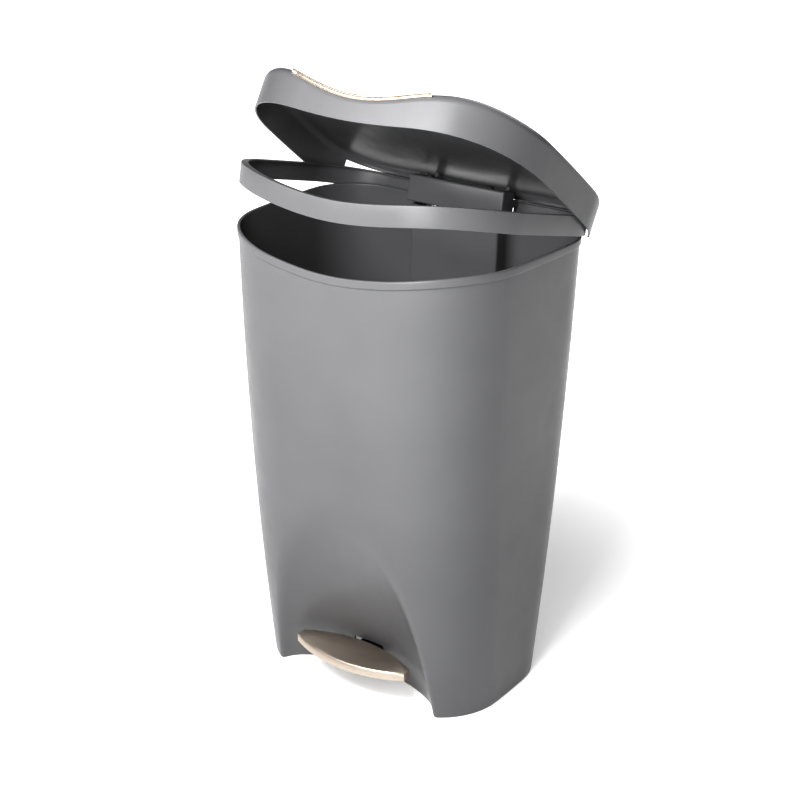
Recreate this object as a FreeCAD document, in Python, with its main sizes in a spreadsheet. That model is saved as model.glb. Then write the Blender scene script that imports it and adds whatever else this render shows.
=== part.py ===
import FreeCAD, Part
import math
import os
import Sketcher
from FreeCAD import Placement, Rotation, Vector

# Pedal bin: a tapered plastic body with a scooped pedal recess, a bag ring and a lid that turn on
# the same rear hinge, and a pedal, lever and push rod that lift the lid.
# Millimetres. +Z is up, the pedal faces -Y, and X = 0 is the plane of symmetry.
# The origin is on the floor, under the middle of the rim. The lid, the ring and what they carry are
# modelled closed and then swung open about the hinge.

DIMENSIONS = [
    # body outline at the rim and at the base
    ("taper_height", 610.0),
    ("rim_half_width", 195.3),
    ("rim_half_depth", 158.6),
    ("base_half_width", 177.0),
    ("base_front", 117.4),
    ("base_back", 111.1),
    ("side_roundness", 0.36),
    ("front_roundness", 0.84),
    ("back_roundness", 0.56),
    ("front_bow_radius", 1030.0),
    ("side_bow_radius", 1617.0),
    ("widest_station", 85.7),
    ("rim_front_corner", 124.0),
    ("base_front_corner", 93.0),
    ("back_corner", 72.0),
    # body walls
    ("body_wall", 2.4),
    ("ground_gap", 1.0),
    ("floor_height", 72.0),
    ("floor_thickness", 3.0),
    ("bead_height", 10.0),
    ("bead_depth", 1.8),
    # rim line: heights on two guide lines, one in front of the body and one behind it
    ("guide_front_margin", 41.4),
    ("guide_side_margin", 44.7),
    ("rim_front_height", 624.6),
    ("rim_back_height", 603.1),
    ("rim_dip", 22.4),
    ("rim_dip_half_width", 205.0),
    # pedal recess, a leaning elliptical scoop
    ("recess_half_width", 124.0),
    ("recess_half_depth", 60.0),
    ("recess_back", 53.0),
    ("recess_lean", 0.3275),
    ("slot_half_width", 23.0),
    ("slot_bottom", 22.0),
    ("slot_top", 57.0),
    # rod channel at the back of the body
    ("channel_half_width", 66.2),
    ("channel_depth", 33.1),
    ("channel_top", 600.0),
    ("notch_bottom", 574.0),
    ("notch_half_width", 61.0),
    # removable cover over the channel
    ("cover_half_width", 44.0),
    ("cover_bottom", 24.0),
    ("cover_top", 566.0),
    ("cover_gap", 0.4),
    ("snap_reach", 6.0),
    ("snap_thickness", 2.0),
    ("snap_length", 18.0),
    # hinge line
    ("hinge_setback", 150.6),
    ("hinge_height", 590.7),
    ("hinge_pin_radius", 3.0),
    ("hinge_boss_radius", 7.0),
    ("running_gap", 0.05),
    ("lid_open_angle", 33.3),
    ("ring_open_angle", 13.2),
    # bag ring
    ("ring_offset", 4.4),
    ("ring_wall", 1.8),
    ("ring_drop", 7.5),
    ("ring_rise", 17.5),
    ("ring_flange", 9.0),
    ("hood_half_width", 71.5),
    ("hood_front", 119.6),
    ("hood_back", 138.0),
    ("hood_bottom", 598.0),
    ("hood_top", 632.8),
    ("hood_shoulder_station", 146.0),
    ("hood_shoulder_height", 622.0),
    ("wall_clear_height", 612.0),
    ("wall_clear_station", 148.0),
    ("ring_boss_radius", 4.6),
    ("ring_break_half_width", 64.0),
    # lid
    ("lid_offset", 8.9),
    ("lid_wall", 2.1),
    ("lid_edge_front_height", 619.8),
    ("lid_edge_back_height", 583.2),
    ("lid_edge_dip", 17.8),
    ("lid_top_front_height", 664.3),
    ("lid_top_back_height", 628.4),
    ("lid_top_dip", 32.3),
    ("lid_top_dip_half_width", 160.0),
    ("lid_crown", 10.0),
    ("lid_edge_radius", 10.0),
    ("lid_back_edge_height", 627.0),
    ("lid_back_cut_station", 130.0),
    ("ear_inner", 52.0),
    ("ear_thickness", 5.0),
    ("ear_front", 143.0),
    ("ear_back", 158.0),
    # metal inlay in the front edge of the lid
    ("trim_half_width", 98.0),
    ("trim_depth", 26.0),
    ("trim_height", 6.0),
    ("trim_gap", 0.25),
    ("trim_stand_out", 0.5),
    # crank bar that the rod lifts
    ("crank_reach", 15.0),
    ("crank_bar_radius", 3.5),
    ("crank_boss_radius", 5.5),
    # pedal plate
    ("pedal_half_width", 86.0),
    ("pedal_half_depth", 29.0),
    ("pedal_tip_half", 6.5),
    ("pedal_thickness", 12.0),
    ("pedal_forward", 109.0),
    ("pedal_underside", 49.0),
    ("pedal_chamfer", 1.6),
    # lever, pivot and brackets
    ("lever_half_width", 20.0),
    ("lever_thickness", 8.0),
    ("lever_front", 116.0),
    ("lever_back", 107.0),
    ("lever_pad_back", 86.0),
    ("pivot_setback", 20.0),
    ("pivot_height", 42.0),
    ("pivot_boss_radius", 8.0),
    ("axle_radius", 3.0),
    ("bracket_inner", 24.0),
    ("bracket_thickness", 4.0),
    ("bracket_half_length", 13.0),
    ("bracket_flange", 16.0),
    ("bracket_foot_drop", 10.0),
    ("clip_radius", 6.0),
    ("clip_thickness", 1.2),
    # push rod and its guides
    ("rod_radius", 3.0),
    ("rod_bottom_setback", 99.0),
    ("rod_top_setback", 135.6),
    ("rod_end_gap", 0.5),
    ("rod_head_half_width", 12.0),
    ("rod_head_depth", 9.0),
    ("rod_head_height", 7.0),
    ("guide_half_width", 11.0),
    ("guide_nose", 4.4),
    ("guide_height", 14.0),
    ("lower_guide_height", 170.0),
    ("upper_guide_height", 430.0),
    # feet, bumpers and screws
    ("foot_radius", 11.0),
    ("foot_thickness", 3.0),
    ("front_foot_across", 128.0),
    ("front_foot_forward", 76.0),
    ("back_foot_across", 138.0),
    ("back_foot_setback", 72.0),
    ("bumper_radius", 5.0),
    ("bumper_across", 45.0),
    ("bumper_height", 2.0),
    ("screw_radius", 1.9),
    ("screw_head_radius", 3.8),
    ("screw_head_height", 1.8),
    ("screw_slot_length", 5.0),
    ("screw_slot_width", 1.0),
    ("guide_screw_length", 12.0),
    ("guide_screw_lift", 0.5),
    ("bracket_screw_across", 34.0),
    ("bracket_screw_spread", 7.0),
    ("bracket_screw_length", 6.0),
    ("pedal_screw_across", 10.0),
    ("pedal_screw_length", 17.0),
]

doc = FreeCAD.newDocument("pedal_bin")
sheet = doc.addObject("Spreadsheet::Sheet", "Sizes")
for row, (alias, value) in enumerate(DIMENSIONS, start=1):
    sheet.set("A%d" % row, str(value))
    sheet.setAlias("A%d" % row, alias)
doc.recompute()


class Size:
    """A number together with the sheet expression that gives it."""

    def __init__(self, value, text):
        self.value = value
        self.text = text

    def joined(self, other, sign, value):
        other_text = other.text if isinstance(other, Size) else repr(float(other))
        return Size(value, "(%s %s %s)" % (self.text, sign, other_text))

    def __float__(self):
        return self.value

    def __add__(self, other):
        return self.joined(other, "+", self.value + float(other))

    def __sub__(self, other):
        return self.joined(other, "-", self.value - float(other))

    def __mul__(self, other):
        return self.joined(other, "*", self.value * float(other))

    def __truediv__(self, other):
        return self.joined(other, "/", self.value / float(other))

    def __neg__(self):
        return self * -1.0


def size(alias):
    """The named cell as a Size, for properties that stay bound to the sheet."""
    return Size(float(sheet.get(alias)), "Sizes." + alias)


def mm(alias):
    """The named cell as a plain number, for shapes built with Part's functions."""
    return float(sheet.get(alias))


def bind(item, **sizes):
    """Binds properties of an object to sizes from the sheet."""
    for name, bound in sizes.items():
        item.setExpression(name, bound.text)


def place(item, x, y, z):
    """Binds the position of an object to sizes from the sheet."""
    item.setExpression("Placement.Base.x", x.text)
    item.setExpression("Placement.Base.y", y.text)
    item.setExpression("Placement.Base.z", z.text)


ZERO = Size(0.0, "0")
ALONG_X = Rotation(Vector(0, 1, 0), 90)
pieces = []


def keep(item, label):
    """Names a finished sub-part and puts it on the list to be written."""
    item.Label = label
    pieces.append(item)
    return item


def feature(label, shape, placement=Placement()):
    """A sub-part whose shape is set directly, placed after its shape."""
    item = doc.addObject("Part::Feature", label)
    item.Shape = shape
    item.Placement = placement
    return keep(item, label)


# --- plan outline and lofted blocks ------------------------------------------------------------


def meeting_point(first, first_radius, second, second_radius):
    """The front right meeting point of two circles in plan."""
    span = second - first
    distance = span.Length
    along = (first_radius ** 2 - second_radius ** 2 + distance ** 2) / (2 * distance)
    across = math.sqrt(first_radius ** 2 - along ** 2)
    middle = first + span * (along / distance)
    normal = Vector(-span.y, span.x, 0) * (1 / distance)
    candidates = [middle + normal * across, middle - normal * across]
    return max(candidates, key=lambda point: point.x - point.y)


def arc_about(centre, radius, start, end):
    """The short arc about a centre between two points on it."""
    middle = (start + end) * 0.5 - centre
    middle.normalize()
    return Part.Arc(start, centre + middle * radius, end).toShape()


def taper(rim, base, roundness, height):
    """A size of the outline at a height, between its rim and base values."""
    depth = 1 - height / mm("taper_height")
    return rim + (base - rim) * (depth * (1 - roundness) + depth * depth * roundness)


def back_of_body(height):
    """How far the outer back wall stands behind the middle at a height."""
    return taper(mm("rim_half_depth"), mm("base_back"), mm("back_roundness"), height)


def outline(height, offset, section_height=None):
    """The body's plan outline, grown by an offset, as a closed wire at a height."""
    shape_height = height if section_height is None else section_height
    half_width = taper(mm("rim_half_width"), mm("base_half_width"), mm("side_roundness"), shape_height)
    front = taper(mm("rim_half_depth"), mm("base_front"), mm("front_roundness"), shape_height) + offset
    back = back_of_body(shape_height) + offset
    bow = mm("front_bow_radius") + offset
    side = mm("side_bow_radius") + offset
    corner = taper(mm("rim_front_corner"), mm("base_front_corner"), 0, shape_height) + offset
    rear = mm("back_corner") + offset
    bow_centre = Vector(0, bow - front, 0)
    side_centre = Vector(half_width + offset - side, mm("widest_station"), 0)
    corner_centre = meeting_point(bow_centre, bow - corner, side_centre, side - corner)
    rear_y = back - rear
    rear_x = side_centre.x + math.sqrt((side - rear) ** 2 - (rear_y - side_centre.y) ** 2)
    rear_centre = Vector(rear_x, rear_y, 0)

    def outward(centre, radius, other):
        direction = other - centre
        direction.normalize()
        return centre + direction * radius

    front_end = outward(bow_centre, bow, corner_centre)
    side_start = outward(side_centre, side, corner_centre)
    side_end = outward(side_centre, side, rear_centre)
    rear_end = Vector(rear_x, back, 0)
    right = [
        arc_about(corner_centre, corner, front_end, side_start),
        arc_about(side_centre, side, side_start, side_end),
        arc_about(rear_centre, rear, side_end, rear_end),
    ]
    left = [edge.mirror(Vector(), Vector(1, 0, 0)) for edge in reversed(right)]
    mirrored_end = Vector(-rear_x, back, 0)
    mirrored_start = Vector(-front_end.x, front_end.y, 0)
    bow_edge = Part.Arc(mirrored_start, Vector(0, -front, 0), front_end).toShape()
    back_edge = Part.LineSegment(rear_end, mirrored_end).toShape()
    wire = Part.Wire(Part.__sortEdges__([bow_edge] + right + [back_edge] + left))
    wire.translate(Vector(0, 0, height))
    return wire


STATIONS = 5
ABOVE_RIM = 660.0


def body_block(offset, bottom, top=ABOVE_RIM):
    """A solid of the tapered body outline, grown by an offset."""
    step = (top - bottom) / (STATIONS - 1)
    wires = [outline(bottom + step * index, offset) for index in range(STATIONS)]
    return Part.makeLoft(wires, True, False)


def rim_block(offset, bottom=540.0, top=720.0):
    """An upright solid of the rim outline, grown by an offset."""
    rim = mm("taper_height")
    face = Part.Face(outline(bottom, offset, rim))
    return face.extrude(Vector(0, 0, top - bottom))


# --- surfaces that dip at the front ------------------------------------------------------------

GUIDE_POINTS = 17


def guide_edge(station, base_height, dip, dip_half_width, crown):
    """A line of height across the bin, with a round dip and a crown about the middle."""
    span = mm("rim_half_width") + mm("guide_side_margin")
    points = []
    for index in range(GUIDE_POINTS):
        x = span * (2 * index / (GUIDE_POINTS - 1) - 1)
        inside = abs(x) < dip_half_width
        hollow = dip * (1 + math.cos(math.pi * x / dip_half_width)) / 2 if inside else 0
        swell = crown * (1 - (x / span) ** 2)
        points.append(Vector(x, station, base_height - hollow + swell))
    curve = Part.BSplineCurve()
    curve.interpolate(points)
    return curve.toShape()


def slab(surface, low, high):
    """The space between two heights measured from one of the dipped surfaces."""
    face = surface.copy()
    face.translate(Vector(0, 0, low))
    return face.extrude(Vector(0, 0, high - low))


def dipped_surface(front_height, back_height, dip, dip_half_width, crown=0.0):
    """A ruled surface from a dipped guide line in front to a crowned one behind."""
    reach = mm("rim_half_depth") + mm("guide_front_margin")
    front = guide_edge(-reach, front_height, dip, dip_half_width, 0)
    back = guide_edge(reach, back_height, 0, dip_half_width, crown)
    return Part.makeRuledSurface(front, back)


def box(x_low, x_high, y_low, y_high, z_low, z_high):
    """A box between two corners."""
    return Part.makeBox(x_high - x_low, y_high - y_low, z_high - z_low, Vector(x_low, y_low, z_low))


def rod_across(radius, x_low, x_high, y, z):
    """A cylinder along X."""
    return Part.makeCylinder(radius, x_high - x_low, Vector(x_low, y, z), Vector(1, 0, 0))


rim_surface = dipped_surface(
    mm("rim_front_height"), mm("rim_back_height"), mm("rim_dip"), mm("rim_dip_half_width")
)
lid_edge_surface = dipped_surface(
    mm("lid_edge_front_height"), mm("lid_edge_back_height"), mm("lid_edge_dip"), mm("rim_dip_half_width")
)
lid_top_surface = dipped_surface(
    mm("lid_top_front_height"),
    mm("lid_top_back_height"),
    mm("lid_top_dip"),
    mm("lid_top_dip_half_width"),
    mm("lid_crown"),
)

FAR = 200.0
HINGE = Vector(0, mm("hinge_setback"), mm("hinge_height"))


def swung(angle):
    """The placement that opens a closed part about the hinge line."""
    return Placement(Vector(), Rotation(Vector(1, 0, 0), -angle), HINGE)


LID_OPEN = swung(mm("lid_open_angle"))
RING_OPEN = swung(mm("ring_open_angle"))


# --- screws ------------------------------------------------------------------------------------

UPWARD = Vector(0, 0, 1)
BACK_TO_FRONT = Vector(0, -1, 0)


def screw(head_seat, direction, length):
    """A pan-head screw whose head stands on a seat, with the shank along a direction."""
    head_height = mm("screw_head_height")
    top = head_seat - direction * head_height
    shank = Part.makeCylinder(mm("screw_radius"), length, head_seat, direction)
    head = Part.makeCylinder(mm("screw_head_radius"), head_height, top, direction)
    slot_length = mm("screw_slot_length")
    slot_width = mm("screw_slot_width")
    along = slot_length / 2
    across = slot_width / 2
    cross = box(-across, across, -along, along, 0, head_height / 2)
    cross = cross.fuse(box(-along, along, -across, across, 0, head_height / 2))
    cross.Placement = Placement(top, Rotation(UPWARD, direction))
    return shank.fuse(head).cut(cross)


def screw_holes(shape, seats, direction, length):
    """Cuts the shank holes of a set of screws."""
    for seat in seats:
        shape = shape.cut(Part.makeCylinder(mm("screw_radius"), length + 1.0, seat - direction, direction))
    return shape


def guide_screw_seats():
    """Where the screws of the rod guides stand on the outside of the channel cover."""
    half = mm("guide_height") / 2
    heights = [mm("lower_guide_height") + half, mm("upper_guide_height") + half]
    lift = mm("guide_screw_lift")
    return [Vector(0, back_of_body(height) + lift, height) for height in heights]


def bracket_screw_seats():
    """Where the screws of the pivot brackets stand under their flanges."""
    across = mm("bracket_screw_across")
    level = mm("floor_height") - mm("floor_thickness") - mm("bracket_thickness")
    spread = mm("bracket_screw_spread")
    stations = [mm("pivot_setback") - spread, mm("pivot_setback") + spread]
    return [Vector(sign * across, station, level) for sign in (-1, 1) for station in stations]


def pedal_screw_seats():
    """Where the screws of the pedal plate stand under the lever."""
    level = mm("pivot_height") - mm("lever_thickness") / 2
    return [Vector(sign * mm("pedal_screw_across"), -mm("pedal_forward"), level) for sign in (-1, 1)]


# --- body --------------------------------------------------------------------------------------


def scoop(growth):
    """The leaning elliptical scoop of the pedal recess, grown by a wall."""
    half_width = mm("recess_half_width") + growth
    half_depth = mm("recess_half_depth") + growth
    wires = []
    for height in (-20.0, 360.0):
        centre_y = -mm("recess_back") - mm("recess_half_depth") - mm("recess_lean") * height
        ellipse = Part.Ellipse(Vector(0, centre_y, height), half_width, half_depth)
        wires.append(Part.Wire(ellipse.toShape()))
    return Part.makeLoft(wires, True, True)


def channel(growth, behind, top):
    """The rod channel, a box that follows the slope of the back wall."""
    half_width = mm("channel_half_width") - growth
    bottom = -10.0
    wires = []
    for index in range(STATIONS):
        height = bottom + (top - bottom) * index / (STATIONS - 1)
        back = back_of_body(height)
        front = back - mm("channel_depth") + growth
        points = [
            Vector(-half_width, front, height),
            Vector(half_width, front, height),
            Vector(half_width, back + behind, height),
            Vector(-half_width, back + behind, height),
        ]
        wires.append(Part.makePolygon(points + points[:1]))
    return Part.makeLoft(wires, True, False)


def foot_places():
    """The four foot centres with their names."""
    places = []
    for side, sign in (("left", -1), ("right", 1)):
        places.append(("foot_front_" + side, sign * mm("front_foot_across"), -mm("front_foot_forward")))
        places.append(("foot_back_" + side, sign * mm("back_foot_across"), mm("back_foot_setback")))
    return places


def make_body():
    """The tapered body with its recess, raised floor, rod channel, rim bead and hinge walls."""
    wall = mm("body_wall")
    floor_top = mm("floor_height")
    floor_underside = floor_top - mm("floor_thickness")
    recess_wall = scoop(wall)
    bin_space = body_block(-wall, floor_top).cut(recess_wall).cut(channel(0, FAR, ABOVE_RIM))
    under_space = body_block(-wall, -5.0, floor_underside).cut(recess_wall)
    rod_space = channel(wall, -wall, ABOVE_RIM)
    shell = body_block(0, mm("ground_gap")).cut(bin_space).cut(under_space).cut(rod_space).cut(scoop(0))
    bead = body_block(mm("bead_depth"), 560.0).cut(body_block(-wall / 2, 550.0, ABOVE_RIM + 5))
    bead = bead.common(slab(rim_surface, -mm("bead_height"), 0))
    notch_half = mm("notch_half_width")
    bead = bead.cut(box(-notch_half, notch_half, 0, FAR, mm("notch_bottom"), ABOVE_RIM))
    shell = shell.cut(slab(rim_surface, 0, FAR)).fuse(bead)
    for _, x, y in foot_places():
        post_height = floor_top - mm("floor_thickness") / 2 - mm("foot_thickness")
        post = Part.makeCylinder(mm("foot_radius"), post_height, Vector(x, y, mm("foot_thickness")))
        shell = shell.fuse(post)
    slot_half = mm("slot_half_width")
    slot = box(-slot_half, slot_half, -mm("recess_half_depth") * 2, 0, mm("slot_bottom"), mm("slot_top"))
    notch = box(-notch_half, notch_half, mm("hinge_setback") - 5, FAR, mm("notch_bottom"), ABOVE_RIM)
    inside = mm("channel_half_width") - wall
    cap = box(-inside, inside, 100.0, mm("hinge_setback"), mm("channel_top"), ABOVE_RIM)
    window = cover_window(0)
    bores = hinge_bores(mm("hinge_pin_radius") + mm("running_gap"))
    shell = shell.cut(slot).cut(notch).cut(cap).cut(window).cut(bores)
    return screw_holes(shell, bracket_screw_seats(), UPWARD, mm("bracket_screw_length")).removeSplitter()


def cover_window(gap):
    """The window in the back wall that the channel cover closes, less a gap all round."""
    half = mm("cover_half_width") - gap
    opening = box(-half, half, 0, FAR, mm("cover_bottom") + gap, mm("cover_top") - gap)
    return opening.common(channel(mm("body_wall"), FAR / 2, ABOVE_RIM))


def hinge_bores(radius):
    """A cylinder along the hinge line, long enough to cut every ear."""
    return rod_across(radius, -90, 90, HINGE.y, HINGE.z)


def make_cover():
    """The channel cover: a curved panel with snap tongues behind the edges of its window."""
    wall = mm("body_wall")
    gap = mm("cover_gap")
    panel = body_block(0, 1.0).cut(body_block(-wall, -5.0, ABOVE_RIM + 5)).common(cover_window(gap))
    inside = body_block(-wall - gap - mm("snap_thickness"), -5.0, ABOVE_RIM + 5)
    inner_layer = body_block(-wall - gap, 1.0).cut(inside)
    link_layer = body_block(-wall / 2, 1.0).cut(inside)
    half = mm("cover_half_width")
    length = mm("snap_length")
    tongue_count = 4
    spread = (mm("cover_top") - mm("cover_bottom") - 4 * length) / (tongue_count - 1)
    for index in range(tongue_count):
        low = mm("cover_bottom") + 1.5 * length + spread * index
        for sign in (-1, 1):
            reach = sorted((sign * (half - 6), sign * (half + mm("snap_reach"))))
            root = sorted((sign * (half - 6), sign * (half - gap)))
            tongue = inner_layer.common(box(reach[0], reach[1], 60, FAR, low, low + length))
            neck = link_layer.common(box(root[0], root[1], 60, FAR, low, low + length))
            panel = panel.fuse(tongue).fuse(neck)
    return screw_holes(panel, guide_screw_seats(), BACK_TO_FRONT, mm("guide_screw_length")).removeSplitter()


# --- bag ring ----------------------------------------------------------------------------------


def make_ring():
    """The loop that holds the bag, with an inward flange and a hood over the rod channel."""
    offset = mm("ring_offset")
    wall = mm("ring_wall")
    low = -mm("ring_drop")
    high = mm("ring_rise")
    band = rim_block(offset).cut(rim_block(offset - wall)).common(slab(rim_surface, low, high))
    flange_inner = rim_block(offset - mm("ring_flange"))
    flange = rim_block(offset - wall / 2).cut(flange_inner).common(slab(rim_surface, high - wall, high))
    gap_half = mm("ring_break_half_width")
    opening = box(-gap_half, gap_half, mm("hood_back"), FAR, 560.0, ABOVE_RIM)
    band = band.fuse(flange).cut(opening)
    half = mm("hood_half_width")
    front = mm("hood_front")
    behind = mm("rim_half_depth") + offset - wall / 2
    hood = box(-half, half, front, behind, mm("hood_bottom"), mm("hood_top"))
    hollow = box(-half + wall, half - wall, front + wall, FAR, 560.0, mm("hood_top") - wall)
    hood = hood.cut(hollow)
    hood = hood.cut(box(-gap_half, gap_half, mm("hood_back"), FAR, 560.0, ABOVE_RIM))
    shoulder = box(-FAR, FAR, mm("hood_shoulder_station"), FAR, mm("hood_shoulder_height"), ABOVE_RIM)
    beside_wall = box(-FAR, FAR, mm("wall_clear_station"), FAR, 560.0, mm("wall_clear_height"))
    hood = hood.cut(shoulder).cut(beside_wall)
    boss_radius = mm("ring_boss_radius")
    sides = []
    for sign in (-1, 1):
        x_low = min(sign * half, sign * (half - wall))
        boss = rod_across(boss_radius, x_low, x_low + wall, HINGE.y, HINGE.z)
        y_low = HINGE.y - boss_radius - 3.0
        y_high = mm("wall_clear_station")
        web = box(x_low, x_low + wall, y_low, y_high, HINGE.z - boss_radius / 2, mm("hood_bottom") + 1)
        sides += [boss, web]
    ring = band.fuse([hood] + sides)
    return ring.cut(hinge_bores(mm("hinge_pin_radius") + mm("running_gap"))).removeSplitter()


# --- lid ---------------------------------------------------------------------------------------


def rounded_lid_block(offset, top_shift, edge_radius):
    """The lid's block under its dipped top, with the top edge rounded."""
    block = rim_block(offset).cut(slab(lid_top_surface, top_shift, top_shift + FAR))
    lowest = mm("lid_top_back_height") - mm("lid_top_dip") - 12
    top_edges = []
    for edge in block.Edges:
        box_of_edge = edge.BoundBox
        if box_of_edge.ZMin > lowest and box_of_edge.XLength + box_of_edge.YLength > 20:
            top_edges.append(edge)
    return block.makeFillet(edge_radius, top_edges)


def trim_plan(growth):
    """The plan of the inlay: a lens along the middle of the lid's front edge."""
    half = mm("trim_half_width") + growth
    depth = mm("trim_depth") + growth
    front = mm("rim_half_depth") + mm("lid_offset")
    bow = mm("front_bow_radius")
    tip_y = -front + half * half / (2 * bow)
    back_y = -front + depth
    points = [Vector(-half, tip_y, 560), Vector(0, back_y, 560), Vector(half, tip_y, 560)]
    back_arc = Part.Arc(*points).toShape()
    left = Part.makePolygon([points[0], Vector(-half, tip_y - 20, 560)])
    front_line = Part.makePolygon([Vector(-half, tip_y - 20, 560), Vector(half, tip_y - 20, 560)])
    right = Part.makePolygon([Vector(half, tip_y - 20, 560), points[2]])
    face = Part.Face(Part.Wire([back_arc] + right.Edges + front_line.Edges + left.Edges))
    return face.extrude(Vector(0, 0, FAR))


def make_lid():
    """The lid shell with its rear ears, and the pocket for the inlay."""
    wall = mm("lid_wall")
    outer = rounded_lid_block(mm("lid_offset"), 0, mm("lid_edge_radius"))
    hollow = rounded_lid_block(mm("lid_offset") - wall, -wall, mm("lid_edge_radius") - wall)
    pocket_depth = mm("trim_height") + mm("trim_gap")
    backing = trim_plan(wall).common(slab(lid_top_surface, -pocket_depth - wall, 0))
    shell = outer.cut(hollow.cut(backing))
    below = slab(lid_edge_surface, -FAR, 0)
    cut_station = mm("lid_back_cut_station")
    back_gap = box(-FAR * 2, FAR * 2, cut_station, FAR * 2, 500, mm("lid_back_edge_height"))
    shell = shell.cut(below).cut(back_gap)
    shell = shell.cut(trim_plan(mm("trim_gap")).common(slab(lid_top_surface, -pocket_depth, 20)))
    inner = mm("ear_inner")
    outer_x = inner + mm("ear_thickness")
    crank = crank_centre()
    ears = []
    for sign in (-1, 1):
        x_low, x_high = sorted((sign * inner, sign * outer_x))
        plate = box(x_low, x_high, mm("ear_front"), mm("ear_back"), HINGE.z, ABOVE_RIM)
        plate = plate.cut(slab(lid_top_surface, -wall / 2, FAR))
        boss = rod_across(mm("hinge_boss_radius"), x_low, x_high, HINGE.y, HINGE.z)
        tip = rod_across(mm("crank_boss_radius"), x_low, x_high, crank.y, crank.z)
        link = box(x_low, x_high, -mm("crank_boss_radius"), mm("crank_boss_radius"), 0, mm("crank_reach"))
        link.Placement = Placement(HINGE, Rotation(Vector(1, 0, 0), 90 + mm("lid_open_angle")))
        ears.append(plate.fuse([boss, tip, link]))
    lid = shell.fuse(ears)
    pin = hinge_bores(mm("hinge_pin_radius") + mm("running_gap"))
    bar_seat = rod_across(mm("crank_bar_radius"), -90, 90, crank.y, crank.z)
    return lid.cut(pin).cut(bar_seat).removeSplitter()


def crank_centre():
    """The centre of the crank bar with the lid closed. It is level with the hinge once open."""
    angle = math.radians(mm("lid_open_angle"))
    reach = mm("crank_reach")
    return Vector(0, HINGE.y - reach * math.cos(angle), HINGE.z - reach * math.sin(angle))


def make_trim():
    """The metal inlay, which stands a little proud of the lid's front edge."""
    proud = mm("trim_stand_out")
    block = rim_block(mm("lid_offset") + proud)
    return block.common(trim_plan(0)).common(slab(lid_top_surface, -mm("trim_height"), proud))


feature("bin_body", make_body())
feature("channel_cover", make_cover())
feature("bag_ring", make_ring(), RING_OPEN)
feature("lid_shell", make_lid(), LID_OPEN)
feature("lid_trim", make_trim(), LID_OPEN)


# --- hinge pins, crank bar and bumpers -----------------------------------------------------------


def hinge_pin(side, sign):
    """A headed pin through the hood wall, the channel wall and the lid's ear."""
    inner_end = mm("ear_inner") - 2.5
    head_start = mm("hood_half_width") + 0.4
    shank = Part.makeCylinder(mm("hinge_pin_radius"), head_start - inner_end)
    head = Part.makeCylinder(mm("hinge_pin_radius") + 2, 2.0, Vector(0, 0, head_start - inner_end))
    turn = Rotation(Vector(0, 1, 0), 90 * sign)
    seat = Vector(sign * inner_end, HINGE.y, HINGE.z)
    feature("hinge_pin_" + side, shank.fuse(head), Placement(seat, turn))


def crank_bar():
    """The steel bar between the lid's ears that the push rod lifts."""
    half = mm("ear_inner") + mm("ear_thickness")
    item = doc.addObject("Part::Cylinder", "crank_bar")
    bind(item, Radius=size("crank_bar_radius"), Height=(size("ear_inner") + size("ear_thickness")) * 2)
    centre = crank_centre()
    item.Placement = LID_OPEN.multiply(Placement(Vector(-half, centre.y, centre.z), ALONG_X))
    keep(item, "crank_bar")


def lid_bumper(side, sign):
    """A soft button on the hood that the closed lid comes down on."""
    item = doc.addObject("Part::Cylinder", "lid_bumper_" + side)
    bind(item, Radius=size("bumper_radius"), Height=size("bumper_height"))
    middle = (mm("hood_front") + mm("hood_back")) / 2
    seat = Vector(sign * mm("bumper_across"), middle, mm("hood_top"))
    item.Placement = RING_OPEN.multiply(Placement(seat, Rotation()))
    keep(item, "lid_bumper_" + side)


for side, sign in (("left", -1), ("right", 1)):
    hinge_pin(side, sign)
    lid_bumper(side, sign)
crank_bar()


# --- sketch helpers ------------------------------------------------------------------------------


def new_sketch(body, role, name):
    """A sketch on one of the body's own origin planes."""
    sketch = body.newObject("Sketcher::SketchObject", name)
    plane = [item for item in body.Origin.OriginFeatures if item.Role == role][0]
    sketch.AttachmentSupport = [(plane, "")]
    sketch.MapMode = "FlatFace"
    return sketch


def pin_point(sketch, geometry, end, x, y):
    """Holds a point of a sketch at a bound distance from the sketch's origin."""
    for kind, bound in (("DistanceX", x), ("DistanceY", y)):
        index = sketch.addConstraint(Sketcher.Constraint(kind, -1, 1, geometry, end, float(bound)))
        sketch.setExpression("Constraints[%d]" % index, bound.text)


def draw_outline(sketch, corners):
    """A closed outline of straight lines through bound corners."""
    count = len(corners)
    for index, (x, y) in enumerate(corners):
        next_x, next_y = corners[(index + 1) % count]
        start = Vector(float(x), float(y), 0)
        end = Vector(float(next_x), float(next_y), 0)
        sketch.addGeometry(Part.LineSegment(start, end), False)
    for index, (x, y) in enumerate(corners):
        sketch.addConstraint(Sketcher.Constraint("Coincident", index, 2, (index + 1) % count, 1))
        pin_point(sketch, index, 1, x, y)


def draw_circle(sketch, x, y, radius):
    """A circle with a bound centre and radius."""
    centre = Vector(float(x), float(y), 0)
    index = sketch.addGeometry(Part.Circle(centre, Vector(0, 0, 1), float(radius)), False)
    pin_point(sketch, index, 3, x, y)
    constraint = sketch.addConstraint(Sketcher.Constraint("Radius", index, float(radius)))
    sketch.setExpression("Constraints[%d]" % constraint, radius.text)


def pad(body, sketch, length):
    """Raises a sketch by a bound length."""
    item = body.newObject("PartDesign::Pad", "Pad")
    item.Profile = sketch
    bind(item, Length=length)
    sketch.Visibility = False
    doc.recompute()
    return item


def pocket(body, sketch, length):
    """Cuts a sketch into the solid on its positive side, and makes sure that it cuts."""
    before = body.Shape.Volume
    item = body.newObject("PartDesign::Pocket", "Pocket")
    item.Profile = sketch
    bind(item, Length=length)
    item.Reversed = True
    sketch.Visibility = False
    doc.recompute()
    if not item.Shape.Volume < before:
        raise RuntimeError("%s cuts nothing" % sketch.Label)


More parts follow.
